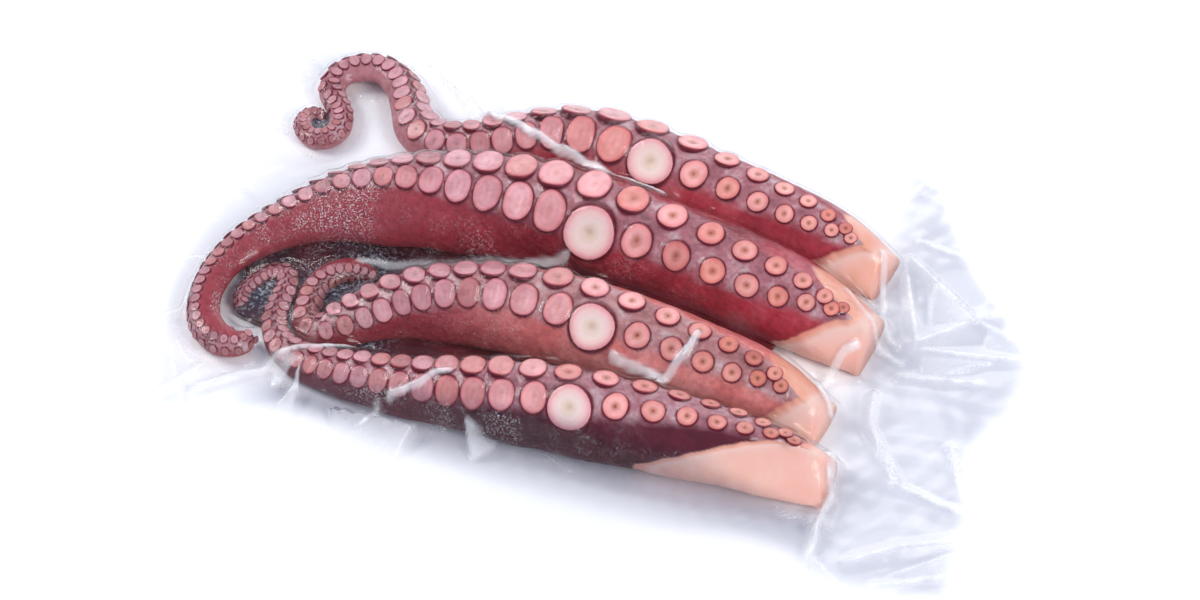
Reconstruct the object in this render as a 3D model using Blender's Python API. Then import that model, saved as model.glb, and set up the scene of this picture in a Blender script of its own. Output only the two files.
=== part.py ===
"""Four cooked octopus arms in a clear vacuum pouch.

The arms lie side by side, suckers up, their cut ends towards +X and their tips coiled at -X. Each arm is one
solid: a tapering tube with two rows of dished suckers, cut to a wedge where it was parted from the head. The
pouch is the film that lies flat under and around them, its rim standing up against the outer arms.

Lengths are in millimetres up to MM, which turns them into Blender's metres.
"""

import math

import bmesh
import bpy
import numpy as np
from mathutils import Matrix, Vector

MM = 0.001

# ---- driving dimensions -------------------------------------------------------------------------------------
SHEET = 0.6  # the two films of the pouch and the juice between them, under the arms
GAP = 0.4  # left between solids that touch
SECTION_SIDES = 10
SECTION_POWER = 2.4  # 2 is an ellipse, more is squarer: an arm pressed between its neighbours
SECTION_ASPECT = 0.80  # an arm's thickness over its width
SECTION_TAPER = 0.22  # how much narrower than its middle an arm is on the sucker side, and wider on the other
PRESSED_FLAT = 0.10  # of the half width, how much of its underside an arm loses to the table
STATION_STEP = 0.95  # of the local half width, between one ring of an arm and the next
SUCKER_SIDES = 7
SMALLEST_SUCKER = 3.5  # radius; finer ones are texture on the tips
SUCKER_RISE = 0.28  # of its radius, how far the rim stands off the skin
SUCKER_ROOT = 0.45  # of its radius, how far it goes into the arm
SUCKER_DISH = 0.24  # of its radius, how deep the cup is
CUP_RADIUS = 0.62  # of the sucker's radius
ROW_SPREAD = (1.2, 0.9)  # a row's distance from the arm's middle: this times the sucker's radius, plus this
CROWDING = (70.0, 130.0)  # between these distances from the cut end the suckers close up and widen
CUT_TILT = 45.0  # degrees between a cut face and the table
END_TILT = 52.0  # the same for the end face, which slopes down past the point

# Each arm's stations, from the cut end to the tip: x, y, half width, roll in degrees and lift. Roll turns the
# sucker side from straight up towards the arm's left, seen from the cut end. Lift raises a coil's inner turn.
# suckers holds the radius at distances from the cut end, and male the one enlarged sucker (distance, radius).
# point is where the two cut faces and the end face meet, and turn is how many degrees the cut faces turn from
# the arm's line to its cut end: each arm was an eighth of the ring round the mouth.
ARMS = {
    "arm_1": {
        "stations": [
            (104, 38, 12.0, 12, 0), (92, 42, 14.0, 12, 0), (76, 46, 15.4, 10, 0), (58, 50, 16.2, 7, 0),
            (38, 54.5, 16.8, 3, 0), (18, 58.5, 17.0, -2, 0), (-5, 62, 17.0, -6, 0), (-25, 64, 16.2, -8, 0),
            (-43, 62.5, 14.0, -5, 0), (-60, 57.5, 11.5, 2, 0), (-75, 53, 9.8, 4, 0), (-87, 53, 9.3, 0, 0),
            (-96, 59, 8.8, -5, 0), (-102, 69, 8.0, -10, 0), (-109, 78.5, 7.2, -20, 0), (-119, 84, 6.8, -32, 0),
            (-129, 82.5, 6.4, -34, 0), (-136, 76.5, 6.0, -30, 0), (-137, 69.5, 5.6, -15, 0), (-132.5, 63.5, 5.3, 5, 0),
            (-127.5, 57, 5.0, 20, 0), (-126, 50, 4.8, 26, 0), (-128.8, 44.5, 4.6, 28, 0), (-134, 42.5, 4.3, 28, 0),
            (-139.5, 45, 3.9, 28, 0), (-142.3, 50.3, 3.5, 26, 0), (-141, 55.4, 3.0, 22, 0), (-137, 56.2, 2.4, 15, 1),
            (-134.6, 53.4, 1.9, 10, 1),
        ],
        "suckers": [(16, 2.6), (40, 3.6), (75, 5.2), (100, 7.0), (130, 6.6), (160, 4.6), (200, 3.6), (240, 2.6)],
        "male": (98, 8.8),
        "point": (97, 42, 19),
        "turn": 30,
    },
    "arm_2": {
        "stations": [
            (106, 3, 14.0, 16, 0), (94, 5.5, 16.6, 17, 0), (78, 9, 18.0, 20, 0), (58, 13, 18.8, 22, 0),
            (36, 17.5, 19.3, 19, 0), (14, 21, 19.7, 16, 0), (-8, 23.5, 20.3, 13, 0), (-30, 24, 20.9, 10, 0),
            (-52, 22, 21.0, 4, 0), (-74, 17.5, 20.0, -7, 0), (-94, 10.5, 18.0, -18, 0), (-110, 3, 15.0, -28, 0),
            (-122, -5, 12.0, -34, 0), (-131, -13, 10.0, -38, 0), (-138, -22, 8.6, -42, 0),
            (-142, -31, 7.6, -47, 0), (-143.5, -41, 7.2, -50, 0), (-142.5, -51, 7.0, -50, 0),
            (-138, -60.5, 6.8, -50, 0), (-130, -65.5, 6.4, -50, 0), (-122.5, -63.5, 5.4, -50, 0),
            (-120.5, -57.5, 3.8, -50, 0),
        ],
        "suckers": [(16, 3.0), (45, 4.5), (92, 6.2), (126, 7.0), (165, 5.8), (200, 4.1), (245, 2.8)],
        "male": (110, 11.0),
        "point": (101, 6, 21),
        "turn": 33,
    },
    "arm_3": {
        "stations": [
            (98, -35.5, 11.6, 15, 0), (88, -33, 13.2, 16, 0), (72, -29.5, 15.0, 15, 0), (52, -27, 16.2, 12, 0),
            (32, -24.5, 17.4, 9, 0), (12, -23, 18.5, 5, 0), (-10, -22, 18.5, 1, 0), (-32, -23, 17.5, -2, 0),
            (-52, -26, 15.5, 0, 0), (-68, -31, 13.0, 6, 0), (-80, -38.5, 10.8, 12, 0), (-89, -45.5, 8.8, 12, 0),
            (-96, -49, 7.0, 5, 0), (-102, -46.5, 5.8, -10, 0), (-104.5, -38.5, 5.2, -20, 0),
            (-104.5, -29, 5.0, -30, 0), (-100.5, -22, 4.9, -50, 0), (-93, -18, 4.6, -60, 0),
            (-84, -18.5, 3.2, -60, 0),
        ],
        "suckers": [(18, 2.9), (40, 3.8), (80, 5.2), (110, 5.8), (140, 4.8), (175, 4.0), (205, 2.6)],
        "male": (91, 9.0),
        "point": (90, -33, 18),
        "turn": 33,
    },
    "arm_4": {
        "stations": [
            (106, -62, 12.0, -20, 0), (94, -61.5, 14.0, -21, 0), (78, -61, 15.4, -21, 0), (58, -60.3, 16.4, -17, 0),
            (36, -60, 16.9, -10, 0), (12, -60.5, 17.0, -3, 0), (-12, -62, 16.0, 3, 0), (-34, -64, 13.5, 5, 0),
            (-54, -66, 11.5, 4, 0), (-72, -66.5, 9.8, 3, 0), (-87, -66, 8.2, 2, 0), (-99, -64, 7.0, 0, 0),
            (-108.5, -58.5, 5.7, 0, 0), (-114, -50, 5.0, 0, 0), (-115.5, -40, 4.7, 0, 0),
            (-116, -31.5, 4.5, 0, 0), (-119, -26.5, 4.3, 0, 0), (-124.5, -27, 4.0, 0, 0),
            (-129.5, -33.5, 3.7, 0, 0), (-131.5, -40.5, 3.4, 0, 0), (-130, -47, 2.9, 0, 0),
        ],
        "suckers": [(16, 2.8), (45, 3.6), (80, 5.0), (110, 5.2), (140, 4.8), (175, 3.6), (205, 2.6)],
        "male": (90, 8.6),
        "point": (94, -55, 22),
        "turn": 22,
    },
}

# The pouch, as spokes that run round it: where the film meets the arms (x, y), how high it does so, and where
# the spoke ends on the pouch's edge (x, y). The edge is then fitted to the pouch's length and width.
PACK_LENGTH = 340.0
PACK_WIDTH = 226.0
SPOKES = [
    (119, 24, 8, 170, 14), (118, 40, 8, 138, 58), (100, 64, 9, 116, 96), (72, 75, 11, 78, 113),
    (40, 80, 12, 40, 111), (8, 86, 13, 2, 106), (-26, 89, 12, -36, 104), (-60, 80, 10, -72, 107),
    (-88, 80, 8, -96, 111), (-102, 90, 7, -118, 112), (-122, 95, 6, -140, 113), (-142, 88, 5, -160, 111),
    (-147, 68, 5, -170, 88), (-150, 46, 5, -169, 58), (-150, 30, 4, -168, 32), (-147, 10, 7, -167, 12),
    (-150, -8, 8, -168, -8), (-156, -30, 7, -168, -34), (-156, -54, 6, -164, -68), (-142, -78, 5, -158, -113),
    (-122, -79, 5, -124, -103), (-100, -80, 6, -94, -92), (-70, -85, 7, -66, -95), (-36, -87, 9, -38, -99),
    (0, -88, 11, 2, -104), (38, -88, 12, 44, -105), (76, -87, 12, 86, -99), (112, -80, 9, 118, -106),
    (122, -64, 7, 160, -98), (119, -44, 6, 162, -60), (119, -22, 6, 158, -26), (123, 4, 7, 168, -6),
]
AROUND = 80  # columns round the pouch
SKIRT_RINGS = 6  # rings of the film between its edge and the arms
SKIRT_CURVE = 2.1  # 1 is a straight slope from the edge up to the arms, more lies flat for longer
EDGE_SEAL = 0.8  # thickness of the welded edge
PLEATS = 19
PLEAT_HEIGHT = 3.0
CRUMPLE_START = 124.0  # past this x the empty end of the pouch is crumpled
CRUMPLE_SPAN = 30.0  # over this length it reaches its full height
CRUMPLE_HEIGHT = 17.0
CRUMPLE_WAVE = (31.0, 23.0)  # lengths of its folds across and along

SKIN = (0.30, 0.055, 0.060, 1.0)
SKIN_DARK = (0.13, 0.022, 0.036, 1.0)
FILM = (0.80, 0.83, 0.88, 1.0)


# ---- curves through points ---------------------------------------------------------------------------------
def slopes_through(points, chords):
    """Slope at each point: the mean of the steps on either side, each weighted by the other's length."""
    steps = np.diff(points, axis=0) / chords[:, None]
    slopes = np.empty_like(points)
    slopes[0], slopes[-1] = steps[0], steps[-1]
    before, after = chords[:-1, None], chords[1:, None]
    slopes[1:-1] = (steps[:-1] * after + steps[1:] * before) / (before + after)
    return slopes


def smooth_through(points, distances):
    """Values at distances along a line of points, whose first two columns are x and y: a cubic between
    neighbours, with the slopes above. Each column is read at the same place."""
    points = np.asarray(points, float)
    chords = np.linalg.norm(np.diff(points[:, :2], axis=0), axis=1)
    knots = np.concatenate([[0.0], np.cumsum(chords)])
    slopes = slopes_through(points, chords)
    i = np.clip(np.searchsorted(knots, distances, side="right") - 1, 0, len(chords) - 1)
    span = chords[i][:, None]
    u = (np.asarray(distances) - knots[i])[:, None] / span
    return (
        (2 * u**3 - 3 * u**2 + 1) * points[i]
        + (u**3 - 2 * u**2 + u) * span * slopes[i]
        + (3 * u**2 - 2 * u**3) * points[i + 1]
        + (u**3 - u**2) * span * slopes[i + 1]
    )


def length_of(points):
    return float(np.linalg.norm(np.diff(np.asarray(points, float)[:, :2], axis=0), axis=1).sum())


# ---- an arm ------------------------------------------------------------------------------------------------
def section_point(angle):
    """A point of the unit section as (across, towards the suckers), with angle 0 in the middle of the sucker
    side: a superellipse, drawn in on the sucker side and let out on the other."""
    c, s = math.cos(angle), math.sin(angle)
    reach = (abs(c) ** SECTION_POWER + abs(s) ** SECTION_POWER) ** (-1 / SECTION_POWER)
    width = 1 - SECTION_TAPER * reach * c
    return reach * s * width / (1 + 0.25 * SECTION_TAPER), SECTION_ASPECT * reach * c


def section_normal(angle):
    """The unit section's outward normal: its step round the section, turned a quarter."""
    before, after = section_point(angle - 0.01), section_point(angle + 0.01)
    return Vector((before[1] - after[1], after[0] - before[0])).normalized()


def section_angles():
    return [2 * math.pi * k / SECTION_SIDES for k in range(SECTION_SIDES)]


def rest_height(half_width, roll):
    """How high the section's centre lies when its underside is pressed flat on the sheet."""
    lowest = 0.0
    for angle in section_angles():
        across, out = section_point(angle)
        lowest = min(lowest, out * math.cos(roll) - across * math.sin(roll))
    return SHEET + GAP - half_width * (lowest + PRESSED_FLAT)


def arm_frame(arm, distance):
    """Centre, direction to the tip, sideways, sucker direction and half width at a distance from the cut end."""
    before, here, after = smooth_through(arm["stations"], [distance - 0.5, distance, distance + 0.5])
    x, y, half_width, roll, lift = (float(value) for value in here)
    roll = math.radians(roll)
    up = Vector((0, 0, 1))
    along = Vector((after[0] - before[0], after[1] - before[1], 0.0)).normalized()
    level = up.cross(along)
    out = up * math.cos(roll) + level * math.sin(roll)
    sideways = level * math.cos(roll) - up * math.sin(roll)
    centre = Vector((x, y, rest_height(half_width, roll) + lift))
    return centre, along, sideways, out, half_width


def ring_distances(arm):
    """Distances of the rings, closer together where the arm is thin."""
    total = length_of(arm["stations"])
    found = [0.0]
    while found[-1] < total:
        half_width = arm_frame(arm, found[-1])[4]
        found.append(found[-1] + STATION_STEP * half_width)
    return [d * total / found[-1] for d in found]


def section_curve(cutters):
    """The section as a closed flat curve of unit half width, which bevels the arms' curves."""
    data = bpy.data.curves.new("arm_section", "CURVE")
    data.dimensions = "2D"
    spline = data.splines.new("POLY")
    spline.points.add(SECTION_SIDES - 1)
    for point, angle in zip(spline.points, section_angles()):
        across, out = section_point(angle)
        point.co = (across * MM, out * MM, 0, 1)
    spline.use_cyclic_u = True
    guide = bpy.data.objects.new("arm_section", data)
    guide.hide_render = True
    guide.display_type = "WIRE"
    cutters.objects.link(guide)
    return guide


def arm_tube(name, arm, section, cutters):
    """The arm without its suckers: a curve through its stations, bevelled with the section. It gives a closed
    bmesh in metres. The curve's tilt runs against the arm's roll."""
    data = bpy.data.curves.new(name + "_line", "CURVE")
    data.dimensions = "3D"
    data.twist_mode = "Z_UP"
    data.bevel_mode = "OBJECT"
    data.bevel_object = section
    data.use_fill_caps = True
    distances = ring_distances(arm)
    spline = data.splines.new("POLY")
    spline.points.add(len(distances) - 1)
    for point, distance in zip(spline.points, distances):
        centre, _, sideways, _, half_width = arm_frame(arm, distance)
        point.co = (*(centre * MM), 1)
        point.radius = half_width
        point.tilt = math.asin(sideways.z)
    line = bpy.data.objects.new(name + "_line", data)
    cutters.objects.link(line)
    bpy.context.view_layer.update()
    mesh = bpy.data.meshes.new_from_object(line.evaluated_get(bpy.context.evaluated_depsgraph_get()))
    bpy.data.objects.remove(line)
    bm = bmesh.new()
    bm.from_mesh(mesh)
    bpy.data.meshes.remove(mesh)
    bmesh.ops.remove_doubles(bm, verts=bm.verts, dist=0.01 * MM)
    bmesh.ops.recalc_face_normals(bm, faces=bm.faces)
    return bm


def slice_off(bm, point, normal):
    """Take away what lies past a plane, and close the cut with one face."""
    everything = bm.verts[:] + bm.edges[:] + bm.faces[:]
    cut = bmesh.ops.bisect_plane(
        bm, geom=everything, dist=0.001 * MM, plane_co=point, plane_no=normal, clear_outer=True
    )
    edges = [item for item in cut["geom_cut"] if isinstance(item, bmesh.types.BMEdge)]
    bmesh.ops.contextual_create(bm, geom=edges)
    bmesh.ops.recalc_face_normals(bm, faces=bm.faces)


def cut_planes(arm):
    """The two cut faces, one each side, and the end face, as (point, normal) in millimetres."""
    _, along, _, _, _ = arm_frame(arm, 0.0)
    up = Vector((0, 0, 1))
    level = up.cross(along)
    tilt, turn, end = math.radians(CUT_TILT), math.radians(arm["turn"]), math.radians(END_TILT)
    point = Vector(arm["point"])
    planes = []
    for side in (-1, 1):
        plan = level * side * math.cos(turn) - along * math.sin(turn)
        planes.append((point, plan * math.sin(tilt) + up * math.cos(tilt)))
    planes.append((point - along * 2.0, up * math.cos(end) - along * math.sin(end)))
    return planes


def sucker_places(arm):
    """The suckers of both rows as (distance, row, radius along, radius across, angle round the section). The
    rows are staggered by half a step. The enlarged sucker is in the row on the arm's left."""
    table = np.array(arm["suckers"], float)
    total = length_of(arm["stations"])
    male_at, male_radius = arm["male"]

    def radius_at(distance):
        return float(np.interp(distance, table[:, 0], table[:, 1]))

    places = []
    for row in (-1, 1):
        distance = table[0, 0] + (0.0 if row > 0 else 1.4 * table[0, 1])
        while distance < total - 2:
            radius = radius_at(distance)
            crowd = min(max((distance - CROWDING[0]) / (CROWDING[1] - CROWDING[0]), 0.0), 1.0)
            spacing = 1.5 - 0.48 * crowd
            half_width = arm_frame(arm, distance)[4]
            angle = row * math.atan2((ROW_SPREAD[0] * radius + ROW_SPREAD[1]) / half_width, SECTION_ASPECT)
            if row > 0 and abs(distance - male_at) < radius:
                distance += 0.6 * (male_radius - radius)
                places.append((distance, row, male_radius, male_radius, 0.95 * angle))
                distance += male_radius + 1.02 * radius_at(distance + radius)
                continue
            if radius >= SMALLEST_SUCKER:
                places.append((distance, row, radius * (1 - 0.04 * crowd), radius * (1 + 0.22 * crowd), angle))
            distance += spacing * (radius + radius_at(distance + radius))
    return places


def sucker_shape():
    """One sucker of unit radius about the skin's level, facing up: a disc with a sunken root and a dished top."""
    bm = bmesh.new()
    bmesh.ops.create_cone(
        bm, cap_ends=True, segments=SUCKER_SIDES, radius1=0.82, radius2=1.0, depth=SUCKER_RISE + SUCKER_ROOT
    )
    bmesh.ops.translate(bm, verts=bm.verts, vec=(0, 0, (SUCKER_RISE - SUCKER_ROOT) / 2))
    bm.normal_update()
    rim = max(bm.faces, key=lambda face: face.calc_center_median().z)
    bmesh.ops.inset_region(bm, faces=[rim], thickness=1.0 - CUP_RADIUS)
    middle = bmesh.ops.poke(bm, faces=[rim])["verts"][0]
    middle.co.z -= SUCKER_DISH
    mesh = bpy.data.meshes.new("sucker_shape")
    bm.to_mesh(mesh)
    bm.free()
    return mesh


def skin_point(arm, distance, angle):
    """A point of the arm's skin, and the skin's normal there."""
    centre, _, sideways, out, half_width = arm_frame(arm, distance)
    across, rise = section_point(angle)
    normal_across, normal_out = section_normal(angle)
    return centre + (sideways * across + out * rise) * half_width, sideways * normal_across + out * normal_out


def suckers_of(name, arm, cutters):
    """All the arm's suckers as one mesh of separate dished discs, sunk into the skin, for the union. On the
    inside of a bend they are squeezed along the arm. Those that the cut faces would part are left out."""
    shape = sucker_shape()
    planes = cut_planes(arm)
    bm = bmesh.new()
    for distance, _, radius_along, radius_across, angle in sucker_places(arm):
        foot, axis = skin_point(arm, distance, angle)
        if any((foot - point).dot(normal) > -0.6 * radius_across for point, normal in planes):
            continue
        run = skin_point(arm, distance + 1.0, angle)[0] - skin_point(arm, distance - 1.0, angle)[0]
        radius_along *= min(max(run.length / 2.0, 0.6), 1.1)
        run = (run - axis * run.dot(axis)).normalized()
        turn = Matrix((run, axis.cross(run), axis)).transposed().to_4x4()
        stretch = Matrix.Diagonal((radius_along, radius_across, min(radius_along, radius_across), 1.0))
        bm.from_mesh(shape)
        bm.verts.ensure_lookup_table()
        bmesh.ops.transform(
            bm, matrix=Matrix.Translation(foot) @ turn @ stretch, verts=bm.verts[-len(shape.vertices):]
        )
    bmesh.ops.scale(bm, vec=(MM, MM, MM), verts=bm.verts)
    bmesh.ops.recalc_face_normals(bm, faces=bm.faces)
    mesh = bpy.data.meshes.new(name + "_suckers")
    bm.to_mesh(mesh)
    bm.free()
    cutter = bpy.data.objects.new(name + "_suckers", mesh)
    cutter.hide_render = True
    cutter.display_type = "WIRE"
    cutters.objects.link(cutter)
    return cutter


def make_arm(name, arm, section, colour, parts, cutters):
    """One arm: the tube, pressed flat below and cut at its base, in a union with its suckers."""
    bm = arm_tube(name, arm, section, cutters)
    slice_off(bm, Vector((0, 0, SHEET + GAP)) * MM, Vector((0, 0, -1)))
    for point, normal in cut_planes(arm):
        slice_off(bm, point * MM, normal)
    mesh = bpy.data.meshes.new(name)
    bm.to_mesh(mesh)
    bm.free()
    mesh.materials.append(material(name + "_skin", colour, 0.25))
    obj = bpy.data.objects.new(name, mesh)
    parts.objects.link(obj)
    union = obj.modifiers.new("suckers", "BOOLEAN")
    union.operation = "UNION"
    union.solver = "EXACT"
    union.use_self = True
    union.object = suckers_of(name, arm, cutters)


# ---- the pouch ---------------------------------------------------------------------------------------------
def wave(value):
    """A triangle wave between -1 and 1, of length 1: folded film has straight flanks."""
    return 4.0 * np.abs((value - np.floor(value)) - 0.5) - 1.0


def spokes_round():
    """The spokes, read evenly all the way round: where the film meets the arms, its height there, and the edge
    fitted to the pouch's length and width."""
    table = np.array(SPOKES + SPOKES[:3], float)
    table = np.column_stack([table[:, 3], table[:, 4], table[:, :3]])
    closed = len(SPOKES)
    chords = np.linalg.norm(np.diff(table[:, :2], axis=0), axis=1)
    start, round_trip = chords[0], chords[:closed].sum()
    found = smooth_through(table, start + round_trip * np.arange(AROUND) / AROUND)
    edge, inner, height = found[:, :2], found[:, 2:4], found[:, 4]
    low, high = edge.min(0), edge.max(0)
    half = np.array([PACK_LENGTH, PACK_WIDTH]) / 2
    edge = (edge - (low + high) / 2) / ((high - low) / 2) * half
    return inner, height, edge


def make_pouch(parts):
    """The film as one closed solid: flat below, a thin sheet under the arms, and round them a skirt that rises
    from the welded edge to where the film meets the arms. A loft, since each ring has a shape of its own."""
    inner, height, edge = spokes_round()
    column = np.arange(AROUND) / AROUND
    rings = [np.column_stack([edge, np.zeros(AROUND)])]
    for k in range(SKIRT_RINGS + 1):
        t = k / SKIRT_RINGS
        plan = edge + (inner - edge) * t
        swell = 4 * t * (1 - t)
        z = EDGE_SEAL + (height - EDGE_SEAL) * t**SKIRT_CURVE
        z += PLEAT_HEIGHT * swell * (0.5 + 0.5 * wave(PLEATS * column + 0.6 * t))
        ramp = np.clip((plan[:, 0] - CRUMPLE_START) / CRUMPLE_SPAN, 0, 1)
        folds = 0.55 + 0.28 * wave(plan[:, 1] / CRUMPLE_WAVE[0]) + 0.17 * wave(plan[:, 0] / CRUMPLE_WAVE[1])
        z += CRUMPLE_HEIGHT * ramp * folds * (1 - t) ** 0.5 * (0.35 + 0.65 * swell)
        rings.append(np.column_stack([plan, z]))
    rings.append(np.column_stack([inner, np.full(AROUND, SHEET)]))
    bm = bmesh.new()
    lines = [[bm.verts.new(point * MM) for point in ring] for ring in rings]
    for lower, upper in zip(lines, lines[1:]):
        for k in range(AROUND):
            n = (k + 1) % AROUND
            bm.faces.new((lower[k], lower[n], upper[n], upper[k]))
    bm.faces.new(lines[0])
    bm.faces.new(lines[-1])
    bmesh.ops.recalc_face_normals(bm, faces=bm.faces)
    mesh = bpy.data.meshes.new("pouch")
    bm.to_mesh(mesh)
    bm.free()
    mesh.materials.append(material("pouch_film", FILM, 0.15))
    parts.objects.link(bpy.data.objects.new("pouch", mesh))


# ---- the model ---------------------------------------------------------------------------------------------
def material(name, colour, roughness):
    made = bpy.data.materials.new(name)
    made.use_nodes = True
    shader = made.node_tree.nodes["Principled BSDF"]
    shader.inputs["Base Color"].default_value = colour
    shader.inputs["Roughness"].default_value = roughness
    shader.inputs["Metallic"].default_value = 0.0
    return made


def collection(name):
    made = bpy.data.collections.new(name)
    bpy.context.scene.collection.children.link(made)
    return made


def main():
    for obj in list(bpy.data.objects):
        bpy.data.objects.remove(obj)
    parts = collection("octopus_arms_in_pouch")
    cutters = collection("cutters")
    section = section_curve(cutters)
    for name, arm in ARMS.items():
        make_arm(name, arm, section, SKIN_DARK if name == "arm_4" else SKIN, parts, cutters)
    make_pouch(parts)
    bpy.context.view_layer.update()


main()
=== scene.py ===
"""Four cooked octopus arms in a clear vacuum pouch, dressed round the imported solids.

Lengths are in millimetres, and build_mesh turns them into metres. Only the camera, the lamps and the table
top are given in metres.
"""

import math

import bpy
import numpy as np
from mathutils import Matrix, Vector


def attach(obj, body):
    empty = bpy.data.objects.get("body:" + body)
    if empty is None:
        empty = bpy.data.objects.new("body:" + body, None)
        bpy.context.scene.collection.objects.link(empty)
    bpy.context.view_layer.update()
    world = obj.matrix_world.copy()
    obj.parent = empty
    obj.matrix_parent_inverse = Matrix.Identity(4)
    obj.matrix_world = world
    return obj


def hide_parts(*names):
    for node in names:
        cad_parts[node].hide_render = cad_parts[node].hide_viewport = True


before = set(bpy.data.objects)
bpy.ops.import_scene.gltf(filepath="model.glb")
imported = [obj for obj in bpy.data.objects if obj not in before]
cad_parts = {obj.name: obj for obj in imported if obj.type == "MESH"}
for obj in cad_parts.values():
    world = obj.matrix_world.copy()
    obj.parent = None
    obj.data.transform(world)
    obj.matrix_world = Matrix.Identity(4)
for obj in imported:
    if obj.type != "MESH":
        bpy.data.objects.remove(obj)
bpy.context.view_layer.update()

# ---- The table and the light ---------------------------------------------------------------------
# A white table top between two soft boxes to its right and left, with a broad low window behind it. The
# camera stands a little to the right of the middle of the pack's front and looks steeply down on it.
CAMERA_AZIMUTH = math.radians(-17.0)
CAMERA_ELEVATION = math.radians(52.0)
CAMERA_DISTANCE = 0.9
CAMERA_LENS = 70.0
TABLE_REACH = 4.0
TABLE_TOP = -0.0002  # just under the pouch
TABLE_WHITE = (0.96, 0.962, 0.97, 1.0)
ROOM_BLUE = (0.66, 0.76, 1.0, 1.0)
ROOM_STRENGTH = 0.54


def shader_nodes(material):
    """The material's node tree and its Principled shader."""
    material.use_nodes = True
    return material.node_tree, material.node_tree.nodes["Principled BSDF"]


def area_light(name, place, size, power, colour):
    """A rectangular soft light at a place, turned to face the pack."""
    lamp = bpy.data.lights.new(name, "AREA")
    lamp.shape = "RECTANGLE"
    lamp.size, lamp.size_y = size
    lamp.energy = power
    lamp.color = colour
    holder = bpy.data.objects.new(name, lamp)
    holder.location = place
    holder.rotation_euler = (-Vector(place)).to_track_quat("-Z", "Y").to_euler()
    bpy.context.scene.collection.objects.link(holder)


sight = Vector((
    math.sin(CAMERA_AZIMUTH) * math.cos(CAMERA_ELEVATION),
    math.cos(CAMERA_AZIMUTH) * math.cos(CAMERA_ELEVATION),
    -math.sin(CAMERA_ELEVATION),
))
camera_data = bpy.data.cameras.new("camera")
camera_data.lens = CAMERA_LENS
camera_data.sensor_width = 36.0
camera = bpy.data.objects.new("camera", camera_data)
camera.location = -sight * CAMERA_DISTANCE
camera.rotation_euler = sight.to_track_quat("-Z", "Y").to_euler()
bpy.context.scene.collection.objects.link(camera)
bpy.context.scene.camera = camera

area_light("window", (-0.3, 1.6, 0.80), (3.0, 1.0), 17.0, (1.0, 0.99, 0.99))
area_light("right_box", (1.5, -0.75, 1.45), (0.9, 0.9), 27.5, (1.0, 0.97, 0.93))
area_light("left_box", (-1.5, 0.0, 1.6), (0.9, 0.9), 25.0, (1.0, 0.97, 0.93))

world = bpy.data.worlds.new("room")
bpy.context.scene.world = world
world.use_nodes = True
world.node_tree.nodes["Background"].inputs["Color"].default_value = ROOM_BLUE
world.node_tree.nodes["Background"].inputs["Strength"].default_value = ROOM_STRENGTH
bpy.context.scene.view_settings.view_transform = "Standard"

table_mesh = bpy.data.meshes.new("table")
table_corners = [(TABLE_REACH * x, TABLE_REACH * y) for x, y in ((-1, -1), (1, -1), (1, 1), (-1, 1))]
table_mesh.from_pydata([(*corner, TABLE_TOP) for corner in table_corners], [], [(0, 1, 2, 3)])
table = bpy.data.objects.new("table", table_mesh)
bpy.context.scene.collection.objects.link(table)
table_finish = bpy.data.materials.new("table_white")
_, table_shader = shader_nodes(table_finish)
table_shader.inputs["Base Color"].default_value = TABLE_WHITE
table_shader.inputs["Roughness"].default_value = 0.6
table_mesh.materials.append(table_finish)

# ---- The first arm, at the back ------------------------------------------------------------------
# One cooked arm, cut from the ring round the mouth: a tapering limb of firm pale flesh in a thin maroon skin,
# with two rows of suckers. It lies suckers up, waisted past its middle, and its tip bends back into a spiral.
MM = 0.001
SHEET = 0.6  # the two films and the juice between them, under the arms
GAP = 0.4  # left between pieces that touch
SECTION_POWER = 2.4  # 2 is an ellipse, more is squarer: an arm pressed between its neighbours
SECTION_ASPECT = 0.80  # an arm's thickness over its width
SECTION_TAPER = 0.22  # how much narrower than its middle an arm is on the sucker side, and wider below
PRESSED_FLAT = 0.10  # of the half width, how much of its underside an arm loses to the table
ROW_SPREAD = (1.2, 0.9)  # a row's distance from the arm's middle: this times the sucker's radius, plus this
CROWDING = (70.0, 130.0)  # between these distances from the cut end the suckers close up and widen
STEP_APART, STEP_CROWDED = 1.5, 1.02  # from one sucker to the next, over the sum of their radii
CROWDED_SHAPE = (-0.04, 0.22)  # what a crowded sucker gains along the arm and across it, over its radius
ROW_STAGGER = 1.4  # how much later one row starts than the other, over the first sucker's radius
BASE_STEP, BASE_SHRINK, BASE_LEAST = 2.6, 0.8, 1.2  # towards the base: the same, shrinkage, least radius
ROWS_OPEN = 26.0  # the distance from the skin's point over which the rows part
SEAT_SWELL, SEAT_SINK = 0.09, 0.03  # round a sucker, over its radius, and under it, over the arm's half width
BROAD_SWELL, FINE_SWELL = (0.035, 34.0), (0.010, 9.0)  # unevenness: height over the half width, and length
SKIN_DEPTH = 0.55  # how far the bare flesh lies below the skin
CUT_TILT = math.radians(45.0)  # between a cut face and the table
END_TILT = math.radians(52.0)  # the same for the end face, which slopes down past the point
SOFT_CUT = 2.2  # how far a cut edge is rounded off
RING_STEP, RING_POINTS = 0.8, 132  # of a limb's skin, along it and round it
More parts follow.
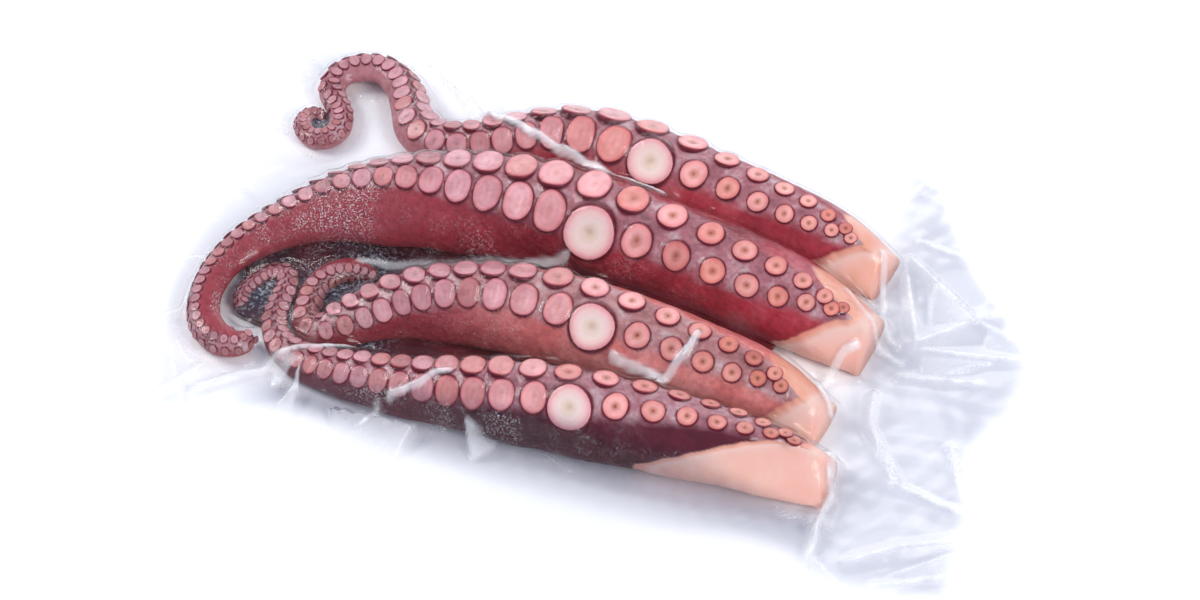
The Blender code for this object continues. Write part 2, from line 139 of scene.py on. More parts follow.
# An arm's stations run from the cut end: x, y, half width, roll in degrees, lift. Roll leans the sucker side
# towards the arm's left, seen from the cut end, and lift raises a coil's inner turn. suckers holds the radius
# at distances from the cut end, and male the one enlarged sucker (distance, radius). The two cut faces meet
# at the point, turned by so many degrees from the arm's line. The skin ends at the first distance of
# skin_ends on the sucker side, and at the second at the foot of the front flank.
ARM_1 = {
    "stations": [
        (104, 38, 12.0, 12, 0), (92, 42, 14.0, 12, 0), (76, 46, 15.4, 10, 0), (58, 50, 16.2, 7, 0),
        (38, 54.5, 16.8, 3, 0), (18, 58.5, 17.0, -2, 0), (-5, 62, 17.0, -6, 0), (-25, 64, 16.2, -8, 0),
        (-43, 62.5, 14.0, -5, 0), (-60, 57.5, 11.5, 2, 0), (-75, 53, 9.8, 4, 0), (-87, 53, 9.3, 0, 0),
        (-96, 59, 8.8, -5, 0), (-102, 69, 8.0, -10, 0), (-109, 78.5, 7.2, -20, 0), (-119, 84, 6.8, -32, 0),
        (-129, 82.5, 6.4, -34, 0), (-136, 76.5, 6.0, -30, 0), (-137, 69.5, 5.6, -15, 0),
        (-132.5, 63.5, 5.3, 5, 0), (-127.5, 57, 5.0, 20, 0), (-126, 50, 4.8, 26, 0),
        (-128.8, 44.5, 4.6, 28, 0), (-134, 42.5, 4.3, 28, 0), (-139.5, 45, 3.9, 28, 0),
        (-142.3, 50.3, 3.5, 26, 0), (-141, 55.4, 3.0, 22, 0), (-137, 56.2, 2.4, 15, 1),
        (-134.6, 53.4, 1.9, 10, 1),
    ],
    "suckers": [
        (16, 2.6), (40, 3.6), (75, 5.2), (100, 7.0), (130, 6.6), (160, 4.6), (200, 3.6), (240, 2.6),
        (280, 1.8), (330, 1.0), (350, 0.8),
    ],
    "male": (98, 9.6),
    "point": (97, 42, 19),
    "turn": 30,
    "skin_ends": (10, 36),
}


def smooth_through(points, distances):
    """Values at distances along a line of points, whose first two columns are x and y: a cubic between
    neighbours. Its slope at a point is the mean of both steps there, each weighted by the other's length."""
    points = np.asarray(points, float)
    chords = np.linalg.norm(np.diff(points[:, :2], axis=0), axis=1)
    knots = np.concatenate([[0.0], np.cumsum(chords)])
    steps = np.diff(points, axis=0) / chords[:, None]
    slopes = np.vstack([steps[:1], np.zeros((len(points) - 2, points.shape[1])), steps[-1:]])
    before, after = chords[:-1, None], chords[1:, None]
    slopes[1:-1] = (steps[:-1] * after + steps[1:] * before) / (before + after)
    i = np.clip(np.searchsorted(knots, distances, side="right") - 1, 0, len(chords) - 1)
    span = chords[i][:, None]
    u = (np.asarray(distances) - knots[i])[:, None] / span
    return (
        (2 * u**3 - 3 * u**2 + 1) * points[i]
        + (u**3 - 2 * u**2 + u) * span * slopes[i]
        + (3 * u**2 - 2 * u**3) * points[i + 1]
        + (u**3 - u**2) * span * slopes[i + 1]
    )


def length_of(stations):
    """The length of a line of points, seen from above."""
    return float(np.linalg.norm(np.diff(np.asarray(stations, float)[:, :2], axis=0), axis=1).sum())


def section(angle):
    """The unit section as (across, towards the suckers), angle 0 in the middle of the sucker side: a
    superellipse, drawn in on the sucker side and let out on the other."""
    c, s = np.cos(angle), np.sin(angle)
    reach = (np.abs(c) ** SECTION_POWER + np.abs(s) ** SECTION_POWER) ** (-1 / SECTION_POWER)
    width = (1 - SECTION_TAPER * reach * c) / (1 + 0.25 * SECTION_TAPER)
    return reach * s * width, SECTION_ASPECT * reach * c


def section_normal(angle):
    """The section's outward normal: its step round the section, turned a quarter."""
    x0, y0 = section(angle - 0.01)
    x1, y1 = section(angle + 0.01)
    length = np.hypot(x1 - x0, y1 - y0)
    return (y0 - y1) / length, (x1 - x0) / length


def limb_at(arm, distances):
    """The limb's centre, direction, sideways, sucker direction and half width at distances, as arrays. The
    centre lies as high as presses the underside a little into the sheet."""
    distances = np.asarray(distances, float)
    here = smooth_through(arm["stations"], distances)
    step = smooth_through(arm["stations"], distances + 0.5) - smooth_through(arm["stations"], distances - 0.5)
    half, roll, lift = here[:, 2], np.radians(here[:, 3]), here[:, 4]
    along = np.column_stack([step[:, :2], np.zeros(len(step))])
    along /= np.linalg.norm(along, axis=1)[:, None]
    level = np.column_stack([-along[:, 1], along[:, 0], np.zeros(len(step))])
    up = np.array([0.0, 0.0, 1.0])
    out = up * np.cos(roll)[:, None] + level * np.sin(roll)[:, None]
    sideways = level * np.cos(roll)[:, None] - up * np.sin(roll)[:, None]
    across, rise = section(np.linspace(0, 2 * math.pi, 73))
    lowest = (rise * np.cos(roll)[:, None] - across * np.sin(roll)[:, None]).min(1)
    centre = np.column_stack([here[:, :2], SHEET + GAP - half * (lowest + PRESSED_FLAT) + lift])
    return centre, along, sideways, out, half


def skin_at(arm, distances, angles):
    """Points of the skin and its normals, for a distance along the limb and an angle round it each."""
    centre, _, sideways, out, half = limb_at(arm, distances)
    across, rise = section(np.asarray(angles))
    normal_across, normal_out = section_normal(np.asarray(angles))
    points = centre + (sideways * across[:, None] + out * rise[:, None]) * half[:, None]
    return points, sideways * normal_across[:, None] + out * normal_out[:, None]


def cut_planes(arm):
    """The two cut faces and the end face, as (point, normal)."""
    along = limb_at(arm, [0.0])[1][0]
    up, level = np.array([0.0, 0.0, 1.0]), np.array([-along[1], along[0], 0.0])
    turn, point = math.radians(arm["turn"]), np.array(arm["point"], float)
    planes = []
    for side in (-1, 1):
        plan = level * side * math.cos(turn) - along * math.sin(turn)
        planes.append((point, plan * math.sin(CUT_TILT) + up * math.cos(CUT_TILT)))
    planes.append((point - along * 2.0, up * math.cos(END_TILT) - along * math.sin(END_TILT)))
    return planes


def skin_end_at(arm, around):
    """How far from the cut end the skin ends, at an angle from the sucker side's middle: at its point in the
    middle and behind it, and further on down the front flank."""
    apex, front = arm["skin_ends"]
    return apex + (front - apex) * np.clip(around / 1.9, 0, 1) ** 1.15


def sucker_rows(arm):
    """Both rows of suckers, as an array of (distance, radius along, radius across, angle, enlarged or not).
    The rows are staggered by half a step. Past the base the suckers close up and widen, and towards the
    skin's point they shrink and both rows draw in to the middle."""
    sizes = np.array(arm["suckers"], float)
    total, apex = length_of(arm["stations"]), arm["skin_ends"][0]
    male_at, male_radius = arm["male"]
    found = []

    def add(at, row, along, across, share=1.0, male=0.0):
        half = smooth_through(arm["stations"], [at])[0, 2]
        radius = np.interp(at, sizes[:, 0], sizes[:, 1])
        drawn_in = min(max((at - apex) / ROWS_OPEN, 0.3), 1.0)
        offset = ROW_SPREAD[0] * (across if male else radius) + ROW_SPREAD[1]
        angle = row * drawn_in * share * math.atan2(offset / half, SECTION_ASPECT)
        found.append((at, along, across, angle, male))

    for row in (-1, 1):
        at = sizes[0, 0] + (0.0 if row > 0 else ROW_STAGGER * sizes[0, 1])
        before, radius = at, sizes[0, 1]
        while before - BASE_STEP * radius > apex + 1.0:
            before -= BASE_STEP * radius
            radius = max(BASE_SHRINK * radius, BASE_LEAST)
            add(before, row, radius, radius)
        while at < total - 1.5:
            radius = np.interp(at, sizes[:, 0], sizes[:, 1])
            crowd = min(max((at - CROWDING[0]) / (CROWDING[1] - CROWDING[0]), 0.0), 1.0)
            if row > 0 and abs(at - male_at) < radius:
                at += 0.6 * (male_radius - radius)
                add(at, row, male_radius, male_radius, share=0.95, male=1.0)
                at += male_radius + STEP_CROWDED * np.interp(at + radius, sizes[:, 0], sizes[:, 1])
                continue
            add(at, row, *(radius * (1 + gain * crowd) for gain in CROWDED_SHAPE))
            step = STEP_APART + (STEP_CROWDED - STEP_APART) * crowd
            at += step * (radius + np.interp(at + radius, sizes[:, 0], sizes[:, 1]))
    return np.array(found)


def sucker_seats(arm):
    """Where each sucker sits: its foot, its three directions (run, cross, axis), its radii, whether it is
    enlarged, which way along cross the arm's edge lies, and its share of the arm's length. Inside a bend it
    is squeezed along the arm. Past the cut faces there are none."""
    rows = sucker_rows(arm)
    foot, axis = skin_at(arm, rows[:, 0], rows[:, 3])
    sideways = limb_at(arm, rows[:, 0])[2]
    ahead, behind = skin_at(arm, rows[:, 0] + 1, rows[:, 3])[0], skin_at(arm, rows[:, 0] - 1, rows[:, 3])[0]
    run = ahead - behind
    squeeze = np.clip(np.linalg.norm(run, axis=1) / 2, 0.6, 1.1)
    run -= axis * (run * axis).sum(1)[:, None]
    run /= np.linalg.norm(run, axis=1)[:, None]
    back_cut, _, end_face = cut_planes(arm)
    keep = rows[:, 0] > skin_end_at(arm, rows[:, 3]) + 0.5 * rows[:, 2]
    for point, normal in (back_cut, end_face):
        keep &= (foot - point) @ normal < -0.5 * rows[:, 2]
    cross = np.cross(axis, run)
    radii = np.column_stack([rows[:, 1] * squeeze, rows[:, 2]])
    side = np.sign(((cross * sideways).sum(1)) * rows[:, 3])
    share = rows[:, 0] / length_of(arm["stations"])
    return [part[keep] for part in (foot, run, cross, axis, radii, rows[:, 4], side, share)]


def smooth_step(value, low, high):
    """0 below low, 1 above high, and an easy curve between."""
    t = np.clip((value - low) / (high - low), 0, 1)
    return t * t * (3 - 2 * t)


def ripple(points, length, seed):
    """Gentle unevenness between -1 and 1: a sum of a few sine waves in random directions, whose lengths run
    from the given one down to a third of it."""
    rng = np.random.default_rng(seed)
    total = np.zeros(len(points))
    for k in range(7):
        direction = rng.normal(size=3)
        direction /= np.linalg.norm(direction)
        turns = points @ direction / length * (1 + 0.33 * k)
        total += np.sin(2 * math.pi * turns + rng.uniform(0, 6.28)) / (1 + 0.3 * k)
    return total / 3.0


def build_mesh(name, points, faces, look):
    """A smooth mesh from points in millimetres, and from one array of corner numbers for each kind of face.
    look is a colour attribute, a row for each point, which the finish reads."""
    mesh = bpy.data.meshes.new(name)
    mesh.vertices.add(len(points))
    mesh.vertices.foreach_set("co", (points * MM).astype(np.float32).ravel())
    corners = np.concatenate([face.ravel() for face in faces])
    sizes = np.concatenate([np.full(len(face), face.shape[1]) for face in faces])
    mesh.loops.add(len(corners))
    mesh.loops.foreach_set("vertex_index", corners.astype(np.int32))
    mesh.polygons.add(len(sizes))
    mesh.polygons.foreach_set("loop_start", np.concatenate([[0], np.cumsum(sizes)[:-1]]).astype(np.int32))
    mesh.update(calc_edges=True)
    mesh.validate()
    layer = mesh.attributes.new("look", "FLOAT_COLOR", "POINT")
    layer.data.foreach_set("color", look.astype(np.float32).ravel())
    mesh.shade_smooth()
    piece = bpy.data.objects.new(name, mesh)
    bpy.context.scene.collection.objects.link(piece)
    return piece


def tube_faces(rings, around):
    """Quads of a tube of rings, with a point each before the first ring and after the last that close its
    ends. The points run: start point, rings, end point."""
    i = np.arange(rings - 1)[:, None] * around + 1
    j = np.arange(around)[None, :]
    n = (j + 1) % around
    quads = np.stack([i + j, i + n, i + around + n, i + around + j], -1).reshape(-1, 4)
    j = np.arange(around)
    n = (j + 1) % around
    end, last = 1 + rings * around, 1 + (rings - 1) * around
    caps = np.concatenate([
        np.stack([np.full(around, 0), 1 + n, 1 + j], -1),
        np.stack([np.full(around, end), last + j, last + n], -1),
    ])
    return quads, caps


def limb_surface(arm, seed):
    """The limb's skin: the section carried along the arm, its tip rounded off, raised under each sucker, a
    little uneven, pressed flat below and cut at the base. The look holds how far a point lies in from the
    rows' outer edges, which are at a half, how near it is to a sucker's edge, how much of it is cut flesh,
    and how far along the arm or inside the flesh it lies."""
    total = length_of(arm["stations"])
    rings = int(total / RING_STEP)
    distances = np.linspace(0.0, total, rings)
    angles = np.linspace(0, -2 * math.pi, RING_POINTS, endpoint=False)
    s, a = (grid.ravel() for grid in np.meshgrid(distances, angles, indexing="ij"))
    points, normals = skin_at(arm, s, a)
    centre = np.repeat(limb_at(arm, distances)[0], RING_POINTS, axis=0)
    half = smooth_through(arm["stations"], distances)[:, 2]
    left = np.clip((total - distances) / (1.3 * half[-1]), 0, 1)
    points = centre + (points - centre) * np.repeat(np.sqrt(left * (2 - left)), RING_POINTS)[:, None]
    half = np.repeat(half, RING_POINTS)
    foot, run, cross, _, radii = sucker_seats(arm)[:5]
    rise, edge, under = np.zeros(len(points)), np.zeros(len(points)), np.zeros(len(points))
    for k in range(len(foot)):
        near = np.abs(points - foot[k]).max(1) < 2.2 * radii[k].max()
        gap = points[near] - foot[k]
        away = np.hypot(gap @ run[k] / radii[k, 0], gap @ cross[k] / radii[k, 1])
        swell = SEAT_SWELL * radii[k].min() * np.exp(-(((away - 1.1) / 0.3) ** 2))
        rise[near] = np.maximum(rise[near], swell)
        # The band just outside each sucker's edge, which the skin's finish darkens as painted shade.
        edge[near] = np.maximum(edge[near], np.exp(-((np.maximum(away, 1.0) - 1.0) / 0.075) ** 2))
        under[near] = np.maximum(under[near], 1 - smooth_step(away, 0.72, 0.98))
    sizes = np.array(arm["suckers"], float)
    radius = np.interp(s, sizes[:, 0], sizes[:, 1])
    row_middle = np.arctan2((ROW_SPREAD[0] * radius + ROW_SPREAD[1]) / half, SECTION_ASPECT)
    row_edge = row_middle + 0.95 * radius / half
    rise += BROAD_SWELL[0] * half * ripple(points, BROAD_SWELL[1], seed) * smooth_step(-np.cos(a), -0.6, 0.4)
    rise += FINE_SWELL[0] * half * ripple(points, FINE_SWELL[1], seed + 1)
    rise = rise * (1 - under) - SEAT_SINK * half * under
    points = points + normals * (rise * smooth_step(total - s, 0.0, 6.0))[:, None]
    around = np.arctan2(np.sin(a), np.cos(a))
    skin_end = skin_end_at(arm, around) + 1.2 * ripple(points, 11.0, seed + 2)
    planes = cut_planes(arm)
    flesh = smooth_step(skin_end - s, -0.6, 0.6)
    flesh = np.maximum(flesh, smooth_step((points - planes[0][0]) @ planes[0][1], -0.6, 0.4) * (s < 60))
    points -= normals * (SKIN_DEPTH * flesh * smooth_step(s, 0, 4))[:, None]
    for number, (point, normal) in enumerate(planes):
        past = (points - point) @ normal
        trim = np.logaddexp(0, past / SOFT_CUT) * SOFT_CUT
        if number == 1:
            trim *= smooth_step(skin_end - s, -3.0, 5.0)
        points -= normal * trim[:, None]
    points[:, 2] = np.maximum(points[:, 2], SHEET + 0.15)
    inside = smooth_step(skin_end - s, 0.0, 16.0)
    between = np.clip(1 - 0.5 * np.abs(around) / row_edge, 0, 1)
    look = np.column_stack([between, edge, flesh, np.where(flesh > 0.5, inside, s / total)])
    ends = [points[:RING_POINTS].mean(0), points[-RING_POINTS:].mean(0)]
    points = np.vstack([ends[0], points, ends[1]])
    look = np.vstack([[0.5, 0.0, 1.0, 1.0], look, look[-1]])
    return points, tube_faces(rings, RING_POINTS), look


# The side of a sucker, from its root up over its rim and across its face to the middle: (radius, height), for
# a sucker of radius 1. The film presses the face nearly flat, with a low step round the cup and a small pit.
SUCKER_PROFILE = np.array([
    (0.70, -0.45), (0.93, -0.14), (1.0, 0.03), (0.985, 0.11), (0.945, 0.158), (0.87, 0.180), (0.70, 0.186),
    (0.55, 0.176), (0.45, 0.156), (0.36, 0.155), (0.22, 0.143), (0.13, 0.115), (0.05, 0.095),
])
SUCKER_SMALL = SUCKER_PROFILE[[0, 2, 4, 6, 9, 11]]
SUCKER_AROUND = (24, 9)  # points round a large sucker and round a small one
SUCKER_LARGE = 2.2  # the least radius of a large one


def sucker_surface(seats, profile, around, seed):
    """Suckers as closed discs: the profile turned about each axis, stretched to its two radii, its outline
    made a little uneven by waves of two, three and five to the turn, and tilted by a degree or two. Where
    they crowd, the outline is squarer, comes to a soft point away from the arm's middle, and the face has a
    shallow groove across. The look holds the distance from the face's middle, or from the groove where they
    crowd, measured across an oval along which the finish paints a sheen, a tint of its own, whether it is
    crowded (0.4) or enlarged (1), and how far along the arm it sits."""
    foot, run, cross, axis, radii, male, side, share = seats
    rng = np.random.default_rng(seed)
    count, rings = len(foot), len(profile)
    turn = np.linspace(0, 2 * math.pi, around, endpoint=False)
    uneven = np.ones((count, around))
    for waves, size in ((2, 0.035), (3, 0.025), (5, 0.012)):
        depth = size * rng.uniform(0.3, 1, (count, 1))
        uneven += depth * np.cos(waves * turn + rng.uniform(0, 6.28, (count, 1)))
    crowded = smooth_step(radii[:, 1] / radii[:, 0], 1.05, 1.25)[:, None]
    square = (np.abs(np.cos(turn)) ** 2.5 + np.abs(np.sin(turn)) ** 2.5) ** (-1 / 2.5)
    uneven *= 1 + crowded * (square - 1) * 0.8
    from_point = turn[None] - side[:, None] * math.pi / 2
    from_point = np.arctan2(np.sin(from_point), np.cos(from_point))
    uneven += crowded * rng.uniform(0.02, 0.12, (count, 1)) * np.exp(-(from_point / 0.42) ** 2)
    share_out = profile[:, 0][None, :, None]
    radius = share_out * (1 + (uneven[:, None, :] - 1) * np.clip(share_out, 0.4, 1))
    u, v = radius * np.cos(turn), radius * np.sin(turn)
    x = u * radii[:, 0][:, None, None]
    y = v * radii[:, 1][:, None, None]
    small = radii.min(1)[:, None, None]
    tip = rng.uniform(-0.05, 0.05, (2, count, 1, 1))
    groove = rng.uniform(0.02, 0.07, (count, 1, 1)) * crowded[..., None] * np.exp(-((u / 0.16) ** 2))
    on_face = smooth_step(profile[:, 1], 0.13, 0.17)[None, :, None] * (1 - smooth_step(np.abs(v), 0.55, 0.9))
    z = (profile[:, 1][None, :, None] - groove * on_face) * small + tip[0] * x + tip[1] * y
    points = foot[:, None, None] + x[..., None] * run[:, None, None] + y[..., None] * cross[:, None, None]
    points = points + z[..., None] * axis[:, None, None]
    middle = foot + axis * (profile[-1, 1] - 0.01) * radii.min(1)[:, None]
    root = foot + axis * profile[0, 1] * radii.min(1)[:, None]
    points = np.concatenate([root[:, None], points.reshape(count, -1, 3), middle[:, None]], 1)
    tint = rng.uniform(0, 1, count)
    reach = profile[:, 0].copy()
    reach[:int(np.argmax(reach))] = 1.1
    reach = reach[:, None] + 0 * turn
    # An oval round the groove of a crowded sucker, along which its finish paints a sheen.
    sheen_lens = profile[:, 0][:, None] * np.hypot(np.cos(turn), 0.5 * np.sin(turn))
    inner = (1 - smooth_step(reach, 0.55, 0.92)) * crowded[..., None]
    face = (reach + (sheen_lens - reach) * inner).reshape(count, -1)
    face = np.hstack([np.full((count, 1), 1.5), face, np.zeros((count, 1))])
    kind = np.where(male > 0.5, 1.0, 0.4 * crowded[:, 0])
    look = np.stack(np.broadcast_arrays(face / 2, tint[:, None], kind[:, None], share[:, None]), -1)
    quads, caps = tube_faces(rings, around)
    shift = (np.arange(count) * points.shape[1])[:, None, None]
    faces = (quads + shift).reshape(-1, 4), (caps + shift).reshape(-1, 3)
    return points.reshape(-1, 3), faces, look.reshape(-1, 4)


def join(first, second):
    """Two sets of (points, faces, look) as one."""
    shift = len(first[0])
    faces = [np.concatenate([a, b + shift]) for a, b in zip(first[1], second[1])]
    return np.vstack([first[0], second[0]]), faces, np.vstack([first[2], second[2]])


def noise(tree, scale, detail=4.0, roughness=0.6):
    """A noise pattern on the piece's own coordinates, and its value."""
    place = tree.nodes.new("ShaderNodeTexCoord")
    pattern = tree.nodes.new("ShaderNodeTexNoise")
    pattern.inputs["Scale"].default_value = scale
    pattern.inputs["Detail"].default_value = detail
    pattern.inputs["Roughness"].default_value = roughness
    tree.links.new(place.outputs["Object"], pattern.inputs["Vector"])
    return pattern.outputs["Fac"]


def ramp(tree, value, stops):
    """A colour for each value: the stops are (position, colour)."""
    made = tree.nodes.new("ShaderNodeValToRGB")
    bar = made.color_ramp
    while len(bar.elements) < len(stops):
        bar.elements.new(0.5)
    for stop, (position, colour) in zip(bar.elements, stops):
        stop.position = position
        stop.color = (*colour, 1.0)
    tree.links.new(value, made.inputs["Fac"])
    return made.outputs["Color"]


def share_above(tree, value, low, high, least=0.0, most=1.0):
    """A share that rises from least where the value is low to most where it is high."""
    return ramp(tree, value, [(low, (least, least, least)), (high, (most, most, most))])


def blend(tree, amount, first, second, kind="MIX"):
    """Two colours mixed by an amount."""
    made = tree.nodes.new("ShaderNodeMix")
    made.data_type = "RGBA"
    made.blend_type = kind
    for key, value in (("Factor", amount), ("A", first), ("B", second)):
        socket = made.inputs[key]
        if isinstance(value, (int, float)):
            socket.default_value = value
        elif isinstance(value, tuple):
            socket.default_value = (*value, 1.0)
        else:
            tree.links.new(value, socket)
    return made.outputs["Result"]


def scaled_sum(tree, value, scale, rest):
    """The value times a number, plus the rest, which is a number or another value."""
    made = tree.nodes.new("ShaderNodeMath")
    made.operation = "MULTIPLY_ADD"
    tree.links.new(value, made.inputs[0])
    made.inputs[1].default_value = scale
    if isinstance(rest, float):
        made.inputs[2].default_value = rest
    else:
        tree.links.new(rest, made.inputs[2])
    return made.outputs["Value"]


def look_channels(tree):
    """The look attribute's three channels and its alpha."""
    layer = tree.nodes.new("ShaderNodeAttribute")
    layer.attribute_name = "look"
    split = tree.nodes.new("ShaderNodeSeparateColor")
    tree.links.new(layer.outputs["Color"], split.inputs["Color"])
    return split.outputs["Red"], split.outputs["Green"], split.outputs["Blue"], layer.outputs["Alpha"]


def bump(tree, value, strength, distance, shader):
    """The value as fine relief on a shader."""
    made = tree.nodes.new("ShaderNodeBump")
    made.inputs["Strength"].default_value = strength
    made.inputs["Distance"].default_value = distance
    tree.links.new(value, made.inputs["Height"])
    tree.links.new(made.outputs["Normal"], shader.inputs["Normal"])


def tinted(colour, scale, lift=0.0):
    """A colour scaled and lifted."""
    return tuple(min(1.0, scale * channel + lift) for channel in colour)


def meat_shader(shader, roughness, specular, redness):
    """Soft wet meat, into which light goes a few millimetres. The film over it takes most of its shine."""
    shader.inputs["Roughness"].default_value = roughness
    shader.inputs["Specular IOR Level"].default_value = specular
    shader.inputs["Subsurface Weight"].default_value = 0.12
    shader.inputs["Subsurface Radius"].default_value = (redness, 0.0015, 0.001)
    shader.inputs["Subsurface Scale"].default_value = 1.0


FLESH_ORANGE = (0.86, 0.33, 0.19)
FLESH_PEACH = (0.92, 0.53, 0.42)
FLESH_PINK = (0.90, 0.46, 0.40)
FLESH_WHITE = (0.92, 0.70, 0.61)
RIM_MAROON = (0.17, 0.008, 0.022)
# The dark line on the skin round each sucker: painted shade in the crease where the sucker meets the skin.
SEAT_SHADE_MAROON = (0.15, 0.009, 0.024)


def skin_finish(name, flank, flank_deep, sucker_side, tip):
    """Wet boiled skin: deep maroon on the flanks, fading to a paler, mottled mauve between the suckers, whose
    whitest patches are a painted sheen, and to its tip's own colour, with a dark line of painted shade round
    each sucker, and peach flesh where it is cut, paler in its middle. Fine grain darkens and lightens it."""
    finish = bpy.data.materials.new(name)
    tree, shader = shader_nodes(finish)
    between, edge, flesh, inside = look_channels(tree)
    mottle = noise(tree, 85.0, 5.0, 0.7)
    fine = noise(tree, 420.0, 3.0)
    skin = ramp(tree, noise(tree, 28.0, 5.0), [
        (0.30, flank_deep), (0.56, flank), (0.74, tinted(flank, 0.9, 0.22 * flank[0])),
    ])
    skin = blend(tree, share_above(tree, inside, 0.42, 0.62), skin, tip)
    # The pale mauve between the suckers is the skin's own; the whitest stop of its mottle is a painted sheen.
    pale_with_sheen = ramp(tree, mottle, [
        (0.34, tinted(sucker_side, 0.62)), (0.50, sucker_side), (0.66, tinted(sucker_side, 0.66, 0.30)),
    ])
    ragged = scaled_sum(tree, mottle, 0.22, between)
    skin = blend(tree, share_above(tree, ragged, 0.50, 0.72), skin, pale_with_sheen)
    speckle = ramp(tree, fine, [(0.36, (0.6, 0.55, 0.55)), (0.60, (1, 1, 1))])
    skin = blend(tree, 0.55, skin, speckle, "MULTIPLY")
    # Painted shade: a dark line on the skin round each sucker.
    skin = blend(tree, edge, skin, SEAT_SHADE_MAROON)
    meat = ramp(tree, noise(tree, 45.0, 4.0), [
        (0.32, FLESH_ORANGE), (0.45, FLESH_PINK), (0.56, FLESH_PEACH), (0.66, FLESH_WHITE),
    ])
    rind = ramp(tree, inside, [(0.0, FLESH_ORANGE), (0.30, FLESH_WHITE), (1.0, FLESH_PEACH)])
    meat = blend(tree, 0.6, meat, rind)
    tree.links.new(blend(tree, flesh, skin, meat), shader.inputs["Base Color"])
    meat_shader(shader, 0.42, 0.14, 0.004)
    bump(tree, fine, 0.25, 0.0004, shader)
    return finish


def sucker_finish(name, base_face, face, tip_face, middle):
    """Suckers: one colour near the base of the arm, one further on and one towards the tip, blotched paler,
    with a tan middle, a redder ring inside the rim, and a thin dark rim and side. Crowded ones have no tan
    middle but a painted sheen, pale along the groove across the face, and the enlarged ones are nearly white."""
    finish = bpy.data.materials.new(name)
    tree, shader = shader_nodes(finish)
    radius, tint, kind, share = look_channels(tree)
    worn = noise(tree, 330.0, 4.0)
    wobble = scaled_sum(tree, worn, 0.09, radius)
    flesh = ramp(tree, share, [
        (0.10, base_face), (0.32, face), (0.55, tip_face), (1.0, tinted(tip_face, 0.7)),
    ])
    paler = ramp(tree, share, [
        (0.10, tinted(base_face, 1.2, 0.05)), (0.32, tinted(face, 1.12, 0.07)),
        (0.55, tinted(tip_face, 1.2, 0.08)), (1.0, tip_face),
    ])
    cloudy = share_above(tree, noise(tree, 150.0, 3.0), 0.40, 0.62, most=0.9)
    flesh = blend(tree, cloudy, flesh, paler)
    shade = ramp(tree, wobble, [
        (0.075, middle), (0.125, (0.66, 0.50, 0.40)), (0.20, (0.82, 0.73, 0.66)), (0.27, (0.98, 0.98, 0.98)),
        (0.36, (1.0, 0.93, 0.93)), (0.45, (0.97, 0.76, 0.76)), (0.52, (0.70, 0.40, 0.43)),
    ])
    # Crowded suckers: painted sheen, a pale oval along the groove, then a redder ring and the dark rim.
    grooved_sheen = ramp(tree, wobble, [
        (0.08, (0.90, 0.80, 0.74)), (0.17, (0.97, 0.95, 0.95)), (0.28, (0.90, 0.84, 0.84)),
        (0.38, (0.98, 0.86, 0.86)), (0.46, (0.94, 0.70, 0.70)), (0.52, (0.62, 0.34, 0.38)),
    ])
    shade = blend(tree, share_above(tree, kind, 0.05, 0.35), shade, grooved_sheen)
    colour = blend(tree, 1.0, flesh, shade, "MULTIPLY")
    darker = ramp(tree, tint, [
        (0.0, (1.0, 1.0, 1.0)), (0.5, (0.86, 0.80, 0.80)), (0.8, (0.88, 0.70, 0.62)),
        (1.0, (0.68, 0.52, 0.50)),
    ])
    colour = blend(tree, 1.0, colour, darker, "MULTIPLY")
    white = ramp(tree, wobble, [
        (0.04, (0.60, 0.44, 0.33)), (0.15, (0.76, 0.58, 0.47)), (0.27, (0.84, 0.66, 0.60)),
        (0.40, (0.84, 0.55, 0.52)), (0.50, (0.76, 0.32, 0.34)),
    ])
    colour = blend(tree, share_above(tree, kind, 0.55, 0.85), colour, white)
    colour = blend(tree, share_above(tree, radius, 0.468, 0.482), colour, RIM_MAROON)
    tree.links.new(colour, shader.inputs["Base Color"])
    meat_shader(shader, 0.34, 0.26, 0.003)
    bump(tree, worn, 0.45, 0.0004, shader)
    return finish


def lay_arm(name, arm, skin, cups, seed):
    """The arm's two pieces, its limb and its suckers, in place of its solid. Gives their points, which the
    film is drawn over."""
    points, faces, look = limb_surface(arm, seed)
    limb = build_mesh(name + "_limb", points, faces, look)
    limb.data.materials.append(skin)
    seats = sucker_seats(arm)
    large = seats[4].min(1) > SUCKER_LARGE
    parts = [
        sucker_surface([part[large] for part in seats], SUCKER_PROFILE, SUCKER_AROUND[0], seed + 5),
        sucker_surface([part[~large] for part in seats], SUCKER_SMALL, SUCKER_AROUND[1], seed + 6),
    ]
    cup_points, cup_faces, cup_look = join(*parts)
    suckers = build_mesh(name + "_suckers", cup_points, cup_faces, cup_look)
    suckers.data.materials.append(cups)
    for piece in (limb, suckers):
        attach(piece, "root")
        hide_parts(name)
    return np.vstack([points, cup_points])


# The skin's colour on the flanks, in their deeper patches and between the suckers; then that of the tips.
MAROON = (0.46, 0.045, 0.066), (0.20, 0.014, 0.026), (0.44, 0.165, 0.19)
MAROON_TIP = (0.33, 0.045, 0.060)
PALE_TIP = (0.50, 0.20, 0.22)
pale_tip = skin_finish("maroon_skin_pale_tip", *MAROON, PALE_TIP)
pink_cups = sucker_finish(
    "salmon_suckers", (0.80, 0.37, 0.32), (0.88, 0.42, 0.41), (0.62, 0.32, 0.36), (0.46, 0.29, 0.21),
)
contents = [lay_arm("arm_1", ARM_1, pale_tip, pink_cups, 11)]

